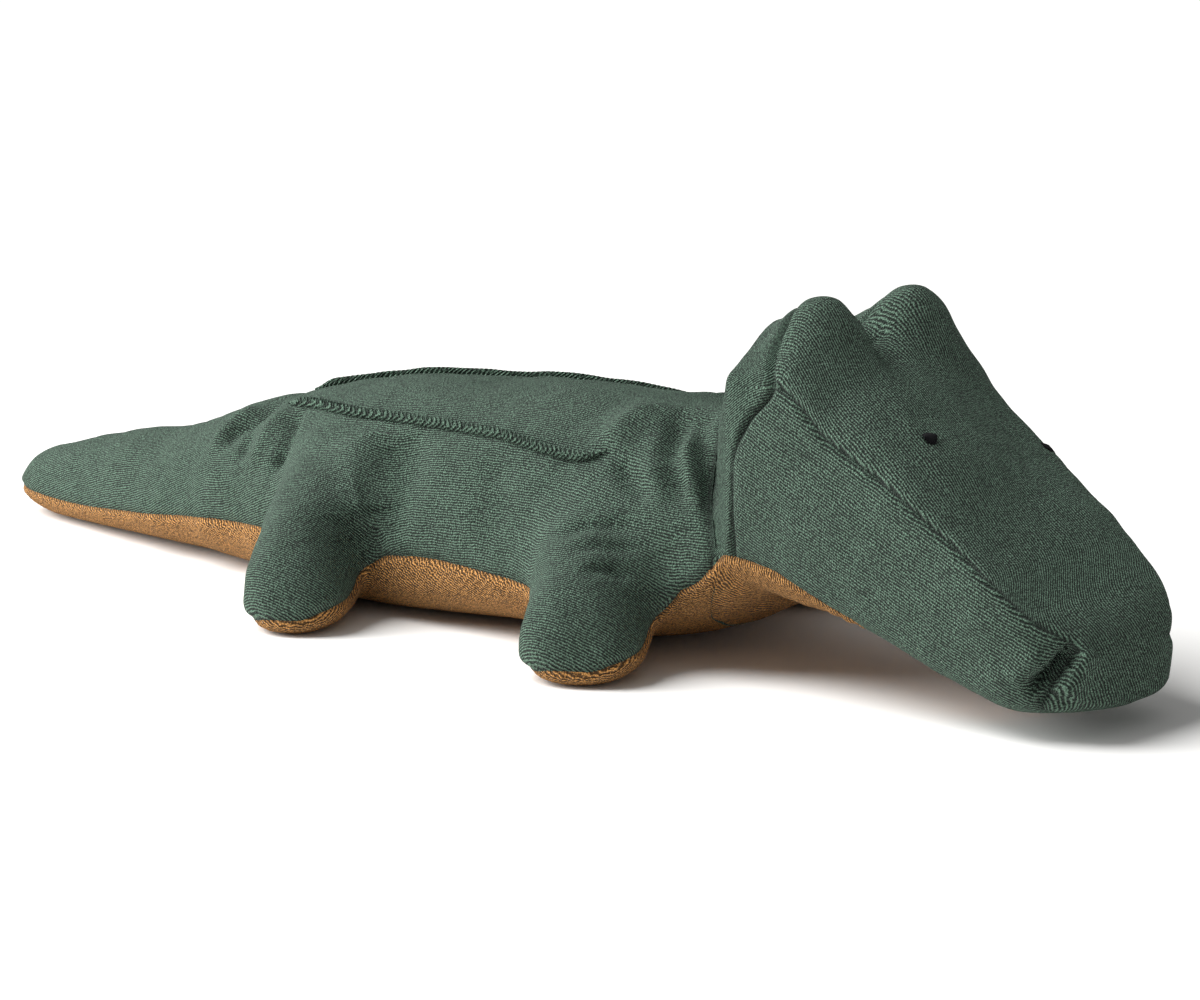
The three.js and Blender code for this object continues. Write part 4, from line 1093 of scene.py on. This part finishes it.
def laid_on_skin(name, corners, lift):
    """A curve through points of the skin, lifted off it along its normals."""
    near = nearest(sewn_tree, corners)
    line = smoothed(points[near] + normals[near] * lift, 4)
    data = bpy.data.curves.new(name, "CURVE")
    data.dimensions = "3D"
    spline = data.splines.new("POLY")
    spline.points.add(len(line) - 1)
    spline.points.foreach_set("co", np.concatenate([line * MM, np.ones((len(line), 1))], 1).ravel())
    return placed(name, data)


def grown(lead, tree, name, values):
    """The mesh that a node tree makes of a curve, as a piece of its own."""
    modifier = lead.modifiers.new(name, "NODES")
    modifier.node_group = tree
    sockets = {item.name: item.identifier for item in tree.interface.items_tree if item.in_out == "INPUT"}
    for key, value in values.items():
        modifier[sockets[key]] = value
    bpy.context.view_layer.update()
    mesh = evaluated(lead, name)
    lead.modifiers.remove(modifier)
    bpy.data.objects.remove(lead)
    mesh.shade_smooth()
    return placed(name, mesh)


twist = twisted_fold()
for side, way in (("right", -1), ("left", 1)):
    t = np.linspace(0, 1, 110)
    spine = mix(TUCK_STARTS[side], TUCK_END, t)
    drawn_out = TUCK_END_OUT * smooth_step(t, .93, 1.02) * (way < 0)
    offset = way * TUCK_SPREAD * tuck_spread(t) + TUCK_LEAN + drawn_out
    size = body_sizes(spine)
    share = np.clip(np.abs(offset - size["middle"]) / size["half"], 0, 1)
    height = mix(size["seam"], size["top"], (1 - share ** BACK_POWER) ** (1 / BACK_POWER))
    corners = np.stack([spine + SPINE_START, offset, height], -1)
    ridge = grown(laid_on_skin(side + "_tuck_line", corners, TUCK_LIFT), twist, side + "_back_tuck_cloth", {
        "Radius": TUCK_RADIUS * MM, "Strands": float(TUCK_STRANDS),
        "Length of turn": way * -TUCK_TURN * MM, "Cloth": green_terry,
    })
    x, y, z = arrays(ridge.data)[0].T
    lay_rows(ridge.data, x, (z - y) * .8)
    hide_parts(side + "_back_tuck")
    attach(ridge, "trunk")

# ---- Embroidered eyes and nostril stitches
# Each eye is a small dot of black satin stitch, worked close together through the crown's cloth.
# At each snout corner four green stitches hold the pinched fold shut.
EYE_PLACE, EYE_OFFSET, EYE_LEAN = 82.0, 37.75, 10.75
EYE_RADIUS, EYE_THREAD, STITCH_THREAD, STITCH_HALF = 3.1, .36, .4, 1.9
# The near eye stands up as a dome. The far one lies flat.
EYE_DOMES = {"right": 3.2, "left": .8}


def matt(name, colour, roughness, specular=.5):
    """A plain material without a pattern."""
    material = bpy.data.materials.new(name)
    material.use_nodes = True
    surface = material.node_tree.nodes["Principled BSDF"].inputs
    surface["Base Color"].default_value = linear(colour)
    surface["Roughness"].default_value = roughness
    surface["Specular IOR Level"].default_value = specular
    return material


# Black satin thread with a dull shine, and dark green sewing thread without one.
black_thread = matt("black_embroidery_thread", "#0d0d10", .75, .15)
green_thread = matt("green_sewing_thread", "#141c17", .9, .1)


def threads(name, stitches, radius, material):
    """Round threads, each bowed from one point to another over a raised middle."""
    girth = np.array([.35, .8, 1, 1, 1, 1, 1, .8, .35])[:, None, None]
    steps, sides = len(girth), 8
    t = np.linspace(0, 1, steps)[:, None]
    around = np.linspace(0, 2 * math.pi, sides, endpoint=False)[:, None]
    rows, faces = [], []
    for start, middle, end in stitches:
        line = (1 - t) ** 2 * start + 2 * t * (1 - t) * middle + t ** 2 * end
        ahead = (end - start) / np.linalg.norm(end - start)
        up = middle - (start + end) / 2
        up = up / np.linalg.norm(up)
        ring = radius * (np.cos(around) * np.cross(ahead, up) + np.sin(around) * up)
        first = len(rows)
        rows.extend((line[:, None] + ring * girth).reshape(-1, 3))
        for i in range(steps - 1):
            for k in range(sides):
                a, b = (first + i * sides + turn % sides for turn in (k, k + 1))
                faces.append((a, b, b + sides, a + sides))
        last = first + (steps - 1) * sides
        faces.append(tuple(range(first, first + sides))[::-1])
        faces.append(tuple(range(last, last + sides)))
    mesh = bpy.data.meshes.new(name)
    mesh.from_pydata((np.array(rows) * MM).tolist(), [], faces)
    mesh.update()
    mesh.shade_smooth()
    mesh.materials.append(material)
    piece = placed(name, mesh)
    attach(piece, "head")
    return piece


def eye_stitches(side, way):
    """Rows of upright stitches that fill a dot on the crown and stand up in its middle."""
    offset, place = EYE_OFFSET + way * EYE_LEAN, np.array([EYE_PLACE])
    share = (offset / head_sizes(place)["half"][0]) ** (CROWN_POWER / 2)
    turn = 2 + math.acos(share) / (math.pi / 2)
    spot = from_head(place, *head_section(place, np.array([turn if way > 0 else 6 - turn])))
    near = nearest(sewn_tree, spot)[0]
    centre, out = points[near], normals[near]
    level = np.cross(out, (0, 0, 1))
    level = level / np.linalg.norm(level)
    rise = np.cross(level, out)
    stitches = []
    for i, share in enumerate(np.linspace(-.94, .94, 13)):
        reach = EYE_RADIUS * math.sqrt(1 - share ** 2) * (1.22 if i % 2 else 1.08)
        foot = centre + level * share * EYE_RADIUS * 1.05 + rise * (.5 * abs(share) - .2)
        ends = (foot - rise * reach - out * .3, foot + rise * reach - out * .3)
        stitches.append((ends[0], foot + out * EYE_DOMES[side], ends[1]))
    return stitches


def nostril_stitches(way):
    """Four stitches across the pinched fold at the snout's corner."""
    line, _ = along_line(NOSTRIL_FOLD[3] if way < 0 else mirrored_in_head(NOSTRIL_FOLD[3]))
    near = nearest(sewn_tree, line[len(line) // 5:len(line) * 3 // 5])
    stitches = []
    for number in near[::len(near) // 3]:
        spot, out = points[number], normals[number]
        over = np.cross(out, line[-1] - line[0])
        over = over / np.linalg.norm(over) * STITCH_HALF
        stitches.append((spot - over - out * .3, spot + out * .9, spot + over - out * .3))
    return stitches


for side, way in (("right", -1), ("left", 1)):
    eye = threads(side + "_eye_stitches", eye_stitches(side, way), EYE_THREAD, black_thread)
    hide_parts(side + "_eye")
    tack = threads(side + "_nostril_stitches", nostril_stitches(way), STITCH_THREAD, green_thread)
    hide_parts(side + "_nostril_tack")

# ---- Floor, light and camera
# A white paper floor that lies just under the toy, a broad soft light high on the left, a soft
# box low at the left, and a camera at the photograph's viewing angle.
FLOOR_REACH, FLOOR_BELOW = 6, .0003
floor_mesh = bpy.data.meshes.new("floor")
floor_mesh.from_pydata(
    [(x * FLOOR_REACH, y * FLOOR_REACH, -FLOOR_BELOW) for x, y in ((-1, -1), (1, -1), (1, 1), (-1, 1))],
    [], [(0, 1, 2, 3)],
)
floor_mesh.materials.append(matt("white_paper_floor", "#fbfaf8", .9))
floor = placed("floor", floor_mesh)

world = bpy.data.worlds.new("studio")
world.use_nodes = True
world.node_tree.nodes["Background"].inputs["Color"].default_value = (1, 1, 1, 1)
world.node_tree.nodes["Background"].inputs["Strength"].default_value = .27
bpy.context.scene.world = world
bpy.context.scene.view_settings.view_transform = "Standard"


def aimed(way):
    """The turn of a lamp that shines along a direction."""
    return way.to_track_quat("-Z", "Y").to_euler()


window = bpy.data.lights.new("soft_window_light", "SUN")
window.energy, window.angle = 3.45, math.radians(40)
placed("soft_window_light", window).rotation_euler = aimed(-Vector((-.62, -.42, 1.0)))
lamp = bpy.data.lights.new("left_soft_box", "AREA")
lamp.shape, lamp.size, lamp.energy = "SQUARE", .7, 17
soft_box = placed("left_soft_box", lamp)
soft_box.location = (-1.0, -.8, .5)
soft_box.rotation_euler = aimed(Vector((-.1, 0, .05)) - soft_box.location)

camera_data = bpy.data.cameras.new("camera")
camera_data.lens, camera_data.sensor_width = 105, 36
camera = placed("camera", camera_data)
camera.location = (1.00408, -1.18701, .36194)
camera.rotation_euler = (math.radians(78.5), 0, math.radians(39))
bpy.context.scene.camera = camera
